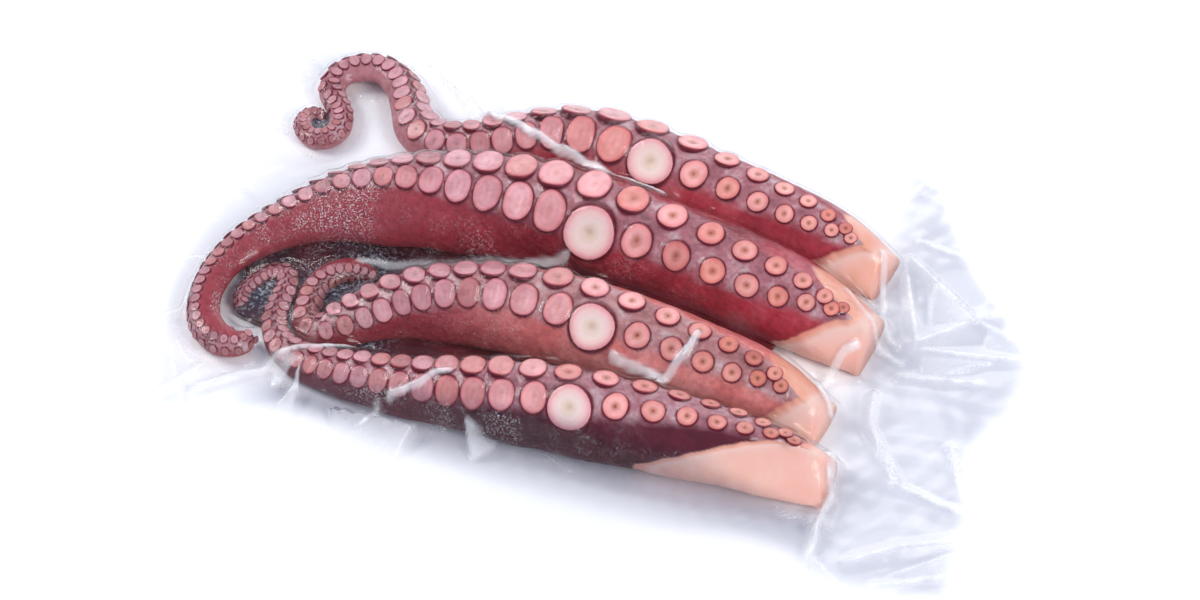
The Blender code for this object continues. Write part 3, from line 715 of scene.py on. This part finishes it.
# ---- The second arm, the thickest ----------------------------------------------------------------
# It lies in front of the first and leans a little to the front. Its tip turns down in a hook, and one of the
# suckers of its front row is twice the size of its neighbours, as on a male.
ARM_2 = {
    "stations": [
        (106, 3, 14.0, 16, 0), (94, 5.5, 16.6, 17, 0), (78, 9, 18.0, 20, 0), (58, 13, 18.8, 22, 0),
        (36, 17.5, 19.3, 19, 0), (14, 21, 19.7, 16, 0), (-8, 23.5, 20.3, 13, 0), (-30, 24, 20.9, 10, 0),
        (-52, 22, 21.0, 4, 0), (-74, 17.5, 20.0, -7, 0), (-94, 10.5, 18.0, -18, 0), (-110, 3, 15.0, -28, 0),
        (-122, -5, 12.0, -34, 0), (-131, -13, 10.0, -38, 0), (-138, -22, 8.6, -42, 0),
        (-142, -31, 7.6, -47, 0), (-143.5, -41, 7.2, -50, 0), (-142.5, -51, 7.0, -50, 0),
        (-138, -60.5, 6.8, -50, 0), (-130, -65.5, 6.4, -50, 0), (-122.5, -63.5, 5.4, -50, 0),
        (-120.5, -57.5, 3.8, -50, 0),
    ],
    "suckers": [
        (16, 3.0), (45, 4.5), (92, 6.2), (126, 7.0), (165, 5.8), (200, 4.1), (245, 2.8), (290, 1.9),
        (330, 1.2),
    ],
    "male": (110, 11.0),
    "point": (101, 6, 21),
    "turn": 33,
    "skin_ends": (8, 38),
}
red_skin = skin_finish("maroon_skin", *MAROON, MAROON_TIP)
contents.append(lay_arm("arm_2", ARM_2, red_skin, pink_cups, 22))

# ---- The third arm, in the middle of the front ---------------------------------------------------
# A shorter arm, whose thin end doubles back beneath the second one's hook.
ARM_3 = {
    "stations": [
        (98, -35.5, 11.6, 15, 0), (88, -33, 13.2, 16, 0), (72, -29.5, 15.0, 15, 0), (52, -27, 16.2, 12, 0),
        (32, -24.5, 17.4, 9, 0), (12, -23, 18.5, 5, 0), (-10, -22, 18.5, 1, 0), (-32, -23, 17.5, -2, 0),
        (-52, -26, 15.5, 0, 0), (-68, -31, 13.0, 6, 0), (-80, -38.5, 10.8, 12, 0), (-89, -45.5, 8.8, 12, 0),
        (-96, -49, 7.0, 5, 0), (-102, -46.5, 5.8, -10, 0), (-104.5, -38.5, 5.2, -20, 0),
        (-104.5, -29, 5.0, -30, 0), (-100.5, -22, 4.9, -50, 0), (-93, -18, 4.6, -60, 0),
        (-84, -18.5, 3.2, -60, 0),
    ],
    "suckers": [
        (18, 2.9), (40, 3.8), (80, 5.2), (110, 5.8), (140, 4.8), (175, 4.0), (205, 2.6), (240, 1.7),
        (275, 1.1),
    ],
    "male": (91, 9.0),
    "point": (90, -33, 18),
    "turn": 33,
    "skin_ends": (10, 26),
}
# The third arm's skin is lighter and rosier: partly its own colour, partly a painted broad glare on its front
# flank.
rosy_skin_painted_glare = skin_finish("rosy_skin_painted_glare", (0.78, 0.23, 0.21), (0.50, 0.09, 0.095), (0.46, 0.20, 0.20), MAROON_TIP)
tan_cups = sucker_finish(
    "tan_suckers", (0.64, 0.27, 0.21), (0.80, 0.38, 0.36), (0.60, 0.30, 0.33), (0.38, 0.21, 0.14),
)
contents.append(lay_arm("arm_3", ARM_3, rosy_skin_painted_glare, tan_cups, 33))

# ---- The fourth arm, along the front edge --------------------------------------------------------
# It shows its darker, nearly purple flank to the front, and leans back against the third. Its tip is a long
# hook.
ARM_4 = {
    "stations": [
        (106, -62, 12.0, -20, 0), (94, -61.5, 14.0, -21, 0), (78, -61, 15.4, -21, 0),
        (58, -60.3, 16.4, -17, 0), (36, -60, 16.9, -10, 0), (12, -60.5, 17.0, -3, 0),
        (-12, -62, 16.0, 3, 0), (-34, -64, 13.5, 5, 0), (-54, -66, 11.5, 4, 0), (-72, -66.5, 9.8, 3, 0),
        (-87, -66, 8.2, 2, 0), (-99, -64, 7.0, 0, 0), (-108.5, -58.5, 5.7, 0, 0), (-114, -50, 5.0, 0, 0),
        (-115.5, -40, 4.7, 0, 0), (-116, -31.5, 4.5, 0, 0), (-119, -26.5, 4.3, 0, 0),
        (-124.5, -27, 4.0, 0, 0), (-129.5, -33.5, 3.7, 0, 0), (-131.5, -40.5, 3.4, 0, 0),
        (-130, -47, 2.9, 0, 0),
    ],
    "suckers": [
        (16, 2.8), (45, 3.6), (80, 5.0), (110, 5.2), (140, 4.8), (175, 3.6), (205, 2.6), (245, 1.8),
        (280, 1.2),
    ],
    "male": (90, 8.6),
    "point": (94, -55, 22),
    "turn": 22,
    "skin_ends": (12, 70),
}
dark_skin = skin_finish(
    "purple_skin", (0.115, 0.010, 0.024), (0.060, 0.005, 0.014), (0.42, 0.17, 0.20), (0.19, 0.035, 0.055),
)
contents.append(lay_arm("arm_4", ARM_4, dark_skin, tan_cups, 44))

# ---- The juice, and painted shade in the hollows -------------------------------------------------
# The arms' own dark red cooking juice, pooled a few millimetres deep in the hollows between them, with a
# frosting of fine bubbles in the coils. Its near-black, blue-cast colour is also painted shade, standing in
# for the shade in those hollows. The edges of the large pool lie under the arms, but for a short stretch
# behind the thickest. Its front and back sides run from left to right, the others from front to back.
# A small oval pool fills the middle of the first arm's coil.
JUICE_FRONT = [
    (-130, -49), (-113, -53), (-96, -64), (-70, -66), (-34, -64), (12, -60), (40, -60), (76, -60),
]
JUICE_RIGHT = [(76, -60), (62, -36), (70, -4), (74, 44)]
JUICE_BACK = [
    (-136, -24), (-128, -12), (-110, 3), (-88, 14), (-70, 38), (-58, 55), (-20, 62), (30, 56), (74, 44),
]
JUICE_LEFT = [(-130, -49), (-132, -40), (-136, -24)]
JUICE_COLUMNS, JUICE_ROWS = 200, 90
JUICE_FOOT = SHEET + 0.2
JUICE_TOP = 4.2
JUICE_SWELL, JUICE_SWELL_LENGTH = 0.25, 17.0
COIL_MIDDLE = (-134.6, 51.0)
COIL_HALF_SIZES = (6.0, 7.0)
COIL_TOP = 3.4
FROSTED = [(-123, -38, 11), (-100, -30, 13), (-86, -16, 14), (-78, -46, 8)]  # x, y and how far it spreads


def side_line(points, count):
    """A side of an outline as evenly spaced points of a smooth line through the given ones."""
    return smooth_through(np.array(points, float), np.linspace(0, length_of(points), count))


def sheet_plan(front, right, back, left, columns, rows):
    """The x and the y of a grid of points over a sheet with four sides: the two sheets ruled between opposite
    sides, added, less the one ruled between the corners."""
    front, back = side_line(front, columns), side_line(back, columns)
    left, right = side_line(left, rows), side_line(right, rows)
    u = np.linspace(0, 1, columns)[None, :, None]
    v = np.linspace(0, 1, rows)[:, None, None]
    across = (1 - v) * front[None] + v * back[None]
    along = (1 - u) * left[:, None] + u * right[:, None]
    corners = (1 - v) * ((1 - u) * front[0] + u * front[-1]) + v * ((1 - u) * back[0] + u * back[-1])
    plan = across + along - corners
    return plan[..., 0], plan[..., 1]


def closed_sheet(name, x, y, z, foot, look):
    """A solid whose top is a grid of points, with a wall down from its edge to a flat underside."""
    rows, columns = x.shape
    top = np.stack([x, y, z], -1).reshape(-1, 3)
    index = np.arange(rows * columns).reshape(rows, columns)
    quads = np.stack([index[:-1, :-1], index[:-1, 1:], index[1:, 1:], index[1:, :-1]], -1).reshape(-1, 4)
    edge = np.concatenate([index[0, :-1], index[:-1, -1], index[-1, :0:-1], index[:0:-1, 0]])
    under = top[edge] * (1, 1, 0) + (0, 0, foot)
    base, count = len(top), len(edge)
    k = np.arange(count)
    wall = np.stack([base + k, base + (k + 1) % count, edge[(k + 1) % count], edge[k]], -1)
    fan = np.stack([np.full(count, base + count), base + (k + 1) % count, base + k], -1)
    points = np.vstack([top, under, [[x.mean(), y.mean(), foot]]])
    look = np.vstack([look.reshape(-1, 4), np.zeros((count + 1, 4))])
    return build_mesh(name, points, [np.concatenate([quads, wall]), fan], look)


def ripple_over(x, y, length, seed):
    """The ripple over a grid of points on the table."""
    return ripple(np.stack([x, y, 0 * x], -1).reshape(-1, 3), length, seed).reshape(x.shape)


x, y = sheet_plan(JUICE_FRONT, JUICE_RIGHT, JUICE_BACK, JUICE_LEFT, JUICE_COLUMNS, JUICE_ROWS)
z = JUICE_TOP + JUICE_SWELL * ripple_over(x, y, JUICE_SWELL_LENGTH, 61)
frosted = np.zeros_like(x)
for spot_x, spot_y, spread in FROSTED:
    frosted = np.maximum(frosted, np.exp(-(((x - spot_x) ** 2 + (y - spot_y) ** 2) / spread**2)))
juice_and_shade = closed_sheet("juice_and_shade", x, y, z, JUICE_FOOT, np.stack([frosted, 0 * x, 0 * x, 0 * x + 1], -1))
contents.append(np.stack([x, y, z], -1).reshape(-1, 3))

u, v = np.meshgrid(np.linspace(-1, 1, 30), np.linspace(-1, 1, 30))
x = COIL_MIDDLE[0] + COIL_HALF_SIZES[0] * u * np.sqrt(1 - v**2 / 2)
y = COIL_MIDDLE[1] + COIL_HALF_SIZES[1] * v * np.sqrt(1 - u**2 / 2)
coil_look = np.stack([0 * x + 1, 0 * x, 0 * x, 0 * x + 1], -1)
coil_juice_and_shade = closed_sheet("juice_and_shade_in_coil", x, y, COIL_TOP + 0 * x, JUICE_FOOT, coil_look)


def juice_and_shade_finish():
    """Dark maroon liquid, whose near-black also serves as painted shade of the hollows it fills: nearly black
    with a blue cast and white bubble specks where it is frosted.
    """
    finish = bpy.data.materials.new("juice_and_painted_shade")
    tree, shader = shader_nodes(finish)
    frosted, _, _, _ = look_channels(tree)
    deep = ramp(tree, noise(tree, 60.0, 4.0), [(0.35, (0.045, 0.006, 0.010)), (0.65, (0.13, 0.018, 0.024))])
    # Painted shade: where frosted, the pool turns blue-black, like the shaded hollows inside the coils.
    inky_shade = blend(tree, frosted, deep, (0.020, 0.018, 0.032))
    specks = share_above(tree, noise(tree, 650.0, 3.0), 0.52, 0.66, most=0.75)
    specks = blend(tree, frosted, (0, 0, 0), specks)
    tree.links.new(blend(tree, specks, inky_shade, (0.50, 0.54, 0.62)), shader.inputs["Base Color"])
    shader.inputs["Roughness"].default_value = 0.22
    bump(tree, noise(tree, 300.0, 3.0), 0.3, 0.0006, shader)
    return finish


juice_and_shade_look = juice_and_shade_finish()
for pool in (juice_and_shade, coil_juice_and_shade):
    pool.data.materials.append(juice_and_shade_look)
    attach(pool, "root")

# ---- The pouch -----------------------------------------------------------------------------------
# Two clear plastic films, welded along their edges and sucked down on the arms. The upper one hugs them,
# spans the valleys between them, and comes down to the table in folds and flaps. The lower one lies flat. The
# front and back sides of the outline run from left to right, the others from front to back.
POUCH_FRONT = [
    (-158, -113), (-124, -103), (-94, -92), (-66, -95), (-38, -99), (2, -104), (44, -105), (86, -99),
    (118, -106), (160, -98),
]
POUCH_RIGHT = [(160, -98), (162, -60), (158, -26), (168, -6), (170, 14), (138, 58), (116, 96)]
POUCH_BACK = [
    (-160, 111), (-140, 113), (-118, 112), (-96, 111), (-72, 107), (-36, 104), (2, 106), (40, 111), (78, 113),
    (116, 96),
]
POUCH_LEFT = [
    (-158, -113), (-164, -68), (-168, -34), (-168, -8), (-167, 12), (-168, 32), (-169, 58), (-170, 88),
    (-160, 111),
]
FILM_COLUMNS, FILM_ROWS = 420, 216
FILM_UNDERSIDE = 0.05
FILM_REACH = (330.0, 215.0)  # the film's width and depth, about, for the distance from its rim
# The film is drawn over a field of cells, which starts at a corner just outside the pouch. Where nothing
# holds it up, it curves by the sag, in 1/mm, and more on the skirt that comes down to the table.
FIELD_LEFT, FIELD_FRONT = -176.0, -122.0
FIELD_ROWS, FIELD_COLUMNS = 245, 353
FILM_CELL = 1.0
FILM_CLEARANCE = 0.25
FILM_SAG, FILM_SKIRT_SAG = 0.7, 1.1
START_ROUNDS, NEAR_ROUNDS, FILM_ROUNDS, SMOOTH_ROUNDS = 6, 60, 700, 3
# The loose film is crumpled: the height of the facets, their length, a seed and what is taken off them first.
CRUMPLES = [(3.0, 60.0, 3, 0.40), (1.5, 23.0, 4, 0.45), (0.8, 8.0, 5, 0.40)]
# Where the film is loose and greyer: beyond the cut ends, at the left end, and along the foot of the front,
# where the grey is the arms' painted shadow.
RIGHT_LOOSE = (97.0, 110.0)
RIGHT_WRINKLED = (104.0, 118.0)
LEFT_LOOSE = (-140.0, -112.0)
FRONT_LEFT_END = (-126.0, -96.0)
FRONT_FOOT = 76.0  # how far in front of the middle the film comes down to the table
# Folds that stand up from the loose film: the start and the end of the crest, half width at its foot, and its
# height at the start and at the end.
FOLDS = [
    (122, 8, 172, 18, 8, 6, 3), (122, 9, 109, 50, 4, 7, 4), (122, 11, 142, 30, 9, 7, 5),
    (111, 52, 141, 29, 5, 5, 6), (141, 29, 168, 19, 5, 5, 3), (119, -5, 156, 4, 4, 4, 2),
    (111, -16, 113, -30, 4, 7, 6), (113, -30, 129, -50, 4, 6, 3), (101, -48, 106, -66, 4, 9, 7),
    (106, -66, 104, -90, 4, 7, 3), (117, -89, 134, -79, 6, 2, 5), (134, -79, 161, -66, 7, 5, 4),
    (130, -96, 158, -82, 5, 3, 2), (155, -20, 161, -46, 4, 2, 4), (143, -30, 153, -50, 4, 3, 2),
    (128, -52, 160, -58, 5, 3, 2), (112, 62, 132, 60, 4, 3, 2), (96, 78, 108, 92, 4, 3, 2),
    (60, 92, 66, 108, 4, 3, 1), (20, 92, 14, 103, 4, 3, 1), (-30, 92, -34, 102, 4, 3, 1),
    (-84, 102, -70, 80, 3, 3, 6), (-101, 91, -84, 80, 3, 8, 9), (-118, 108, -96, 88, 5, 3, 8),
    (-147, 109, -130, 96, 5, 3, 6), (-164, 92, -148, 80, 5, 2, 5), (-167, 50, -150, 44, 5, 2, 5),
    (-166, 18, -150, 8, 5, 2, 5), (-166, -30, -150, -28, 5, 2, 6), (-163, -62, -146, -52, 5, 2, 6),
    (-150, -100, -132, -76, 7, 2, 5), (-70, -90, -61, -77, 4, 2, 5), (104, -98, 106, -80, 5, 2, 6),
]
# Flat flaps of the loose film: three corners, each with its height and how white its painted highlight is
# there.
FLAPS = [
    ((-110, -64, 6, 0.1), (-95, -68, 8, 0.5), (-105, -77, 1, 0.8)),
    ((-95, -70, 7, 0.9), (-93, -88, 1, 0.5), (-102, -90, 1, 0.0)),
    ((-80, -80, 6, 0.0), (-46, -80, 7, 0.35), (-50, -94, 1, 1.0)),
    ((-80, -80, 6, 0.0), (-50, -94, 1, 1.0), (-72, -92, 1, 0.1)),
    ((-28, -77, 7, 0.8), (-15, -80, 4, 0.3), (-23, -86, 1, 0.7)),
    ((122, 42, 5, 0.1), (141, 28, 6, 0.8), (124, 24, 2, 0.1)),
    ((146, 29, 3, 0.6), (169, 18, 3, 0.3), (146, 11, 1, 0.0)),
    ((124, 6, 5, 0.1), (152, 12, 4, 0.6), (127, -3, 1, 0.3)),
    ((110, -23, 6, 0.7), (119, -42, 4, 0.2), (128, -52, 1, 0.6)),
    ((144, -26, 2, 0.5), (153, -49, 3, 0.9), (150, -40, 1, 0.1)),
    ((133, -90, 2, 0.2), (161, -68, 4, 0.9), (158, -84, 1, 0.3)),
    ((104, -88, 3, 0.5), (122, -101, 1, 0.8), (110, -103, 1, 0.1)),
    ((-148, -71, 2, 0.3), (-133, -93, 1, 0.5), (-141, -93, 1, 0.0)),
]
# Creases drawn across the arms, on top of them: their corners, half width, height and how white their painted
# highlight is.
CREASES = [
    ([(-104, 100), (-84, 84), (-62, 62), (-33, 51), (14, 37)], 3.0, 2.2, 1.0),
    ([(45, -25), (44, -31), (40, -39), (36, -44)], 2.2, 1.6, 0.9),
    ([(17, -40), (28, -41), (35, -42)], 2.4, 2.4, 0.8),
    ([(-133, -86), (-118, -74), (-98, -64), (-77, -56), (-51, -50)], 2.2, 1.4, 0.7),
    ([(-57, -76), (-47, -71), (-43, -66), (-38, -64)], 1.8, 1.2, 0.7),
    ([(-92, -16), (-70, -8), (-44, -2), (-14, 1)], 2.6, 1.0, 0.6),
    ([(101, -3), (97, -6), (91, -17), (91, -22), (98, -31)], 2.2, 1.5, 0.8),
    ([(101, 42), (106, 26), (105, 18), (115, 9)], 1.8, 1.2, 0.7),
    ([(92, 16), (100, 9), (118, 2)], 1.8, 1.0, 0.5),
    ([(104, -52), (107, -66), (104, -80)], 2.2, 1.4, 0.7),
]


def grown(field):
    """Each cell's highest neighbour, itself among them."""
    tall = np.maximum(field, np.maximum(np.roll(field, 1, 0), np.roll(field, -1, 0)))
    return np.maximum(tall, np.maximum(np.roll(tall, 1, 1), np.roll(tall, -1, 1)))


def mean_of(field):
    """Each cell's mean over its four neighbours."""
    return (np.roll(field, 1, 0) + np.roll(field, -1, 0) + np.roll(field, 1, 1) + np.roll(field, -1, 1)) / 4


def facets(x, y, length, seed):
    """Flat facets between sharp creases, between 0 and 1: the mean of three triangle waves in random
    directions, bent a little."""
    rng = np.random.default_rng(seed)
    total = 0.0
    for k in range(3):
        turn, start = rng.uniform(0, math.pi), rng.uniform(0, 1)
        bend = 0.12 * np.sin(x / length * 1.7 + 4 * start) + 0.12 * np.sin(y / length * 2.1 + 9 * start)
        wave = (x * math.cos(turn) + y * math.sin(turn)) / (length * (1 + 0.3 * k)) + start + bend
        total = total + np.abs(2 * (wave - np.floor(wave)) - 1)
    return total / 3


def from_line(x, y, x0, y0, x1, y1):
    """How far points lie from a segment, and their share of the way along it."""
    run_x, run_y = x1 - x0, y1 - y0
    share = np.clip(((x - x0) * run_x + (y - y0) * run_y) / (run_x**2 + run_y**2), 0, 1)
    return np.hypot(x - x0 - share * run_x, y - y0 - share * run_y), share


def sample(field, x, y):
    """A field's value at points, straight between its cells."""
    column, row = (x - FIELD_LEFT) / FILM_CELL, (y - FIELD_FRONT) / FILM_CELL
    i = np.clip(column.astype(int), 0, field.shape[1] - 2)
    j = np.clip(row.astype(int), 0, field.shape[0] - 2)
    a, b = column - i, row - j
    return (
        field[j, i] * (1 - a) * (1 - b) + field[j, i + 1] * a * (1 - b)
        + field[j + 1, i] * (1 - a) * b + field[j + 1, i + 1] * a * b
    )


def relaxed_film(clouds):
    """Three fields: how high the contents stand, how high the film lies on them, and how near a cell is to
    the meat. Round after round each cell of the film takes the mean of its neighbours, less a small pull, and
    stays above what holds it up."""
    contents_top = np.full((FIELD_ROWS, FIELD_COLUMNS), SHEET + 0.4)
    for cloud in clouds:
        columns = np.round((cloud[:, 0] - FIELD_LEFT) / FILM_CELL).astype(int)
        rows = np.round((cloud[:, 1] - FIELD_FRONT) / FILM_CELL).astype(int)
        np.maximum.at(contents_top, (rows, columns), cloud[:, 2])
    support = grown(contents_top) + FILM_CLEARANCE
    height = support.copy()
    for _ in range(START_ROUNDS):
        height = grown(height)
    near = np.where(contents_top > SHEET + 1.0, 1.0, 0.0)
    for _ in range(NEAR_ROUNDS):
        near = mean_of(near)
    sag = FILM_SAG + (FILM_SKIRT_SAG - FILM_SAG) * (1 - smooth_step(near, 0.35, 0.6))
    pull = sag * FILM_CELL**2 / 4
    for _ in range(FILM_ROUNDS):
        height = np.maximum(support, mean_of(height) - pull)
    for _ in range(SMOOTH_ROUNDS):
        height = 0.5 * height + 0.5 * mean_of(height)
    return contents_top, height, near


def add_folds(x, y, z, glint, uneven, stands_off):
    """The film's height and the painted highlights on its crests, with the folds: each a ridge with straight
    sides and a crest whose painted highlight widens along it, painted only where the film stands off the
    contents."""
    for x0, y0, x1, y1, half_width, start_height, end_height in FOLDS:
        away, share = from_line(x, y, x0, y0, x1, y1)
        peak = start_height + (end_height - start_height) * share
        z = np.maximum(z, SHEET + peak * (1 - away / half_width))
        white = uneven * np.clip(4 * share * (1 - share), 0, 1) ** 0.5 * np.where(stands_off, 1, 0)
        glint = np.maximum(glint, np.exp(-((away / (0.5 + 0.8 * share)) ** 2)) * white)
    return z, glint


def add_flaps(x, y, z, glint, uneven):
    """The same with the flaps: each point of a triangle has a share of every corner, and takes its height and
    its painted highlight from them in these shares."""
    for flap in FLAPS:
        (ax, ay, _, _), (bx, by, _, _), (cx, cy, _, _) = flap
        area = (bx - ax) * (cy - ay) - (cx - ax) * (by - ay)
        to_b = ((x - ax) * (cy - ay) - (cx - ax) * (y - ay)) / area
        to_c = ((bx - ax) * (y - ay) - (x - ax) * (by - ay)) / area
        shares = np.stack([1 - to_b - to_c, to_b, to_c])
        inside = smooth_step(shares.min(0), -0.04, 0.04)
        shares = np.clip(shares, 0, 1)
        tall, white = (np.tensordot([corner[k] for corner in flap], shares, 1) for k in (2, 3))
        z = np.maximum(z, SHEET + tall * inside)
        glint = np.maximum(glint, white * inside * np.maximum(uneven, 0.7))
    return z, glint


def add_creases(x, y, z, glint, uneven):
    """The same with the creases, which are raised on top of the film as it lies."""
    for corners, half_width, crease_height, white in CREASES:
        away = np.full_like(z, 99.0)
        for (x0, y0), (x1, y1) in zip(corners[:-1], corners[1:]):
            away = np.minimum(away, from_line(x, y, x0, y0, x1, y1)[0])
        z = z + crease_height * np.clip(1 - away / half_width, 0, 1)
        glint = np.maximum(glint, white * np.maximum(uneven, 0.7) * (1 - smooth_step(away, 0.7, 1.9)))
    return z, glint


def film_surface(contents_top, height, near):
    """The upper film's points and its look: how grey it is, with painted shade and shadow, how much it is
    seen, which is not at all at its rim, how bright the painted highlights on its crests are, and where fine
    beads stand between it and the meat."""
    x, y = sheet_plan(POUCH_FRONT, POUCH_RIGHT, POUCH_BACK, POUCH_LEFT, FILM_COLUMNS, FILM_ROWS)
    u, v = np.meshgrid(np.linspace(0, 1, FILM_COLUMNS), np.linspace(0, 1, FILM_ROWS))
    rim = np.minimum(np.minimum(u, 1 - u) * FILM_REACH[0], np.minimum(v, 1 - v) * FILM_REACH[1])
    nearness = sample(near, x, y)
    loose = 1 - smooth_step(nearness, 0.02, 0.30)
    z = sample(height, x, y)
    gap = z - sample(contents_top, x, y)
    crumple = sum(tall * (facets(x, y, length, seed) - less) for tall, length, seed, less in CRUMPLES)
    z = z + np.maximum(crumple, 0) * loose * smooth_step(rim, -4.0, 9.0)
    uneven = np.clip(0.62 + 0.5 * ripple_over(x, y, 9.0, 71), 0.15, 1)
    z, glint = add_folds(x, y, z, np.zeros_like(z), uneven, (gap > 1.0) | (loose > 0.4))
    z, glint = add_flaps(x, y, z, glint, uneven)
    z, glint = add_creases(x, y, z, glint, uneven)
    off_rim = smooth_step(rim, -1.0, 1.0)
    z = np.maximum(z, SHEET) * off_rim + SHEET * (1 - off_rim)

    # Beads stand where the film is a millimetre or two off the meat, most of them among the tips, and where
    # it is steep. Towards the cut ends they thin out.
    steep = sample(smooth_step(np.hypot(*np.gradient(height)), 0.9, 2.2), x, y)
    beads = smooth_step(gap, 0.45, 1.0) * (1 - smooth_step(gap, 2.2, 5.0))
    beads *= 0.12 + 0.88 * (1 - smooth_step(x, -110.0, -50.0))
    beads = np.maximum(beads, 0.5 * steep * smooth_step(gap, 0.4, 1.0)) * (1 - smooth_step(x, 25.0, 65.0))
    # The loose film beyond the cut ends is grey, with painted shade making it greyer where it rises towards
    # the back. It is darkest along the foot of the front, under the arms' painted shadow, where a line of
    # beads stands too.
    slope = np.gradient(z, axis=0) / np.maximum(np.gradient(y, axis=0), 0.2)
    off_meat = 1 - smooth_step(nearness, 0.12, 0.50)
    # Painted shade: the loose film beyond the cut ends is greyer on facets that rise towards the back.
    tint_and_shade = 0.64 * smooth_step(x, *RIGHT_LOOSE) * off_meat * (0.35 + 0.65 * smooth_step(slope, -0.15, 0.15))
    tint_and_shade = np.maximum(tint_and_shade, 0.14 * (1 - smooth_step(x, *LEFT_LOOSE)) * loose)
    # Painted shadow of the arms along the foot of the front, strongest at the foot and fading forward.
    foot = smooth_step(x, *FRONT_LEFT_END) * (1 - smooth_step(x, *RIGHT_WRINKLED)) * (0.8 + 0.2 * uneven)
    front_shadow = 1 - smooth_step(-y, FRONT_FOOT, FRONT_FOOT + 26)
    front_shadow = smooth_step(-y, FRONT_FOOT - 6, FRONT_FOOT + 2) * front_shadow**1.5
    tint_and_shade = np.maximum(tint_and_shade, foot * front_shadow) * smooth_step(rim, 1.0, 12.0)
    beads = np.maximum(beads, 0.9 * foot * np.exp(-(((y + FRONT_FOOT) / 1.6) ** 2)))
    seen = smooth_step(rim, 1.0, 14.0)
    # Beyond the cut ends a painted sheen lies where the film falls towards the back.
    back_facing_sheen = smooth_step(-slope, 0.12, 0.45) * smooth_step(x, *RIGHT_WRINKLED) * loose
    glint = np.maximum(glint, 0.3 * back_facing_sheen)
    return x, y, z, np.stack([np.clip(tint_and_shade, 0, 1), seen, glint, beads], -1)


def mixed(tree, share, first, second):
    """Two shaders mixed by a share of the second."""
    made = tree.nodes.new("ShaderNodeMixShader")
    tree.links.new(share, made.inputs["Fac"])
    tree.links.new(first, made.inputs[1])
    tree.links.new(second, made.inputs[2])
    return made.outputs["Shader"]


def film_finish():
    """Clear glossy plastic: it passes nearly all light straight through, mirrors by its angle, and carries
    painted highlights along its folds, flaps and creases, with fine white beads where it just stands off the
    meat. Its grey tint holds painted shade and the arms' painted shadow. It fades out altogether at its rim
    and on its underside."""
    finish = bpy.data.materials.new("clear_film")
    tree, white = shader_nodes(finish)
    tint_and_shade, seen, glint, beads = look_channels(tree)
    white.inputs["Base Color"].default_value = (0.98, 0.985, 1.0, 1.0)
    white.inputs["Roughness"].default_value = 0.4
    clear = tree.nodes.new("ShaderNodeBsdfTransparent")
    # The grey tint passes less light: the loose film's own greyness, painted shade on its facets and the
    # arms' painted shadow along the front foot.
    tree.links.new(blend(tree, tint_and_shade, (0.995, 0.996, 1.0), (0.655, 0.662, 0.710)), clear.inputs["Color"])
    mirror = tree.nodes.new("ShaderNodeBsdfGlossy")
    mirror.inputs["Roughness"].default_value = 0.11
    bump(tree, noise(tree, 240.0, 3.0), 0.5, 0.0005, mirror)
    slant = tree.nodes.new("ShaderNodeLayerWeight")
    slant.inputs["Blend"].default_value = 0.5
    grazing = tree.nodes.new("ShaderNodeMath")
    grazing.operation = "POWER"
    grazing.inputs[1].default_value = 4.5
    tree.links.new(slant.outputs["Facing"], grazing.inputs[0])
    mirrored = scaled_sum(tree, grazing.outputs["Value"], 0.85, 0.022)
    bead = share_above(tree, noise(tree, 1700.0, 2.0), 0.53, 0.66, most=0.6)
    swarm = share_above(tree, noise(tree, 55.0, 3.0), 0.45, 0.60, least=0.15)
    bead = blend(tree, 1.0, bead, swarm, "MULTIPLY")
    bead = blend(tree, beads, (0, 0, 0), bead)
    # Painted highlights: the white of the folds, flaps, creases and back-facing wrinkles.
    glint_colour = blend(tree, glint, (0, 0, 0), (0.82, 0.82, 0.82))
    haze_and_glint = blend(tree, 1.0, bead, glint_colour, "ADD")
    haze_and_glint = blend(tree, 1.0, haze_and_glint, (0.003, 0.003, 0.003), "ADD")
    milky_and_glint = mixed(tree, haze_and_glint, clear.outputs["BSDF"], white.outputs["BSDF"])
    glaze = mixed(tree, mirrored, milky_and_glint, mirror.outputs["BSDF"])
    nothing = tree.nodes.new("ShaderNodeBsdfTransparent")
    faded = mixed(tree, seen, nothing.outputs["BSDF"], glaze)
    output = next(node for node in tree.nodes if node.type == "OUTPUT_MATERIAL")
    tree.links.new(faded, output.inputs["Surface"])
    return finish


x, y, z, film_look = film_surface(*relaxed_film(contents))
film = closed_sheet("pouch_film", x, y, z, FILM_UNDERSIDE, film_look)
film.data.materials.append(film_finish())
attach(film, "root")
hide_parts("pouch")
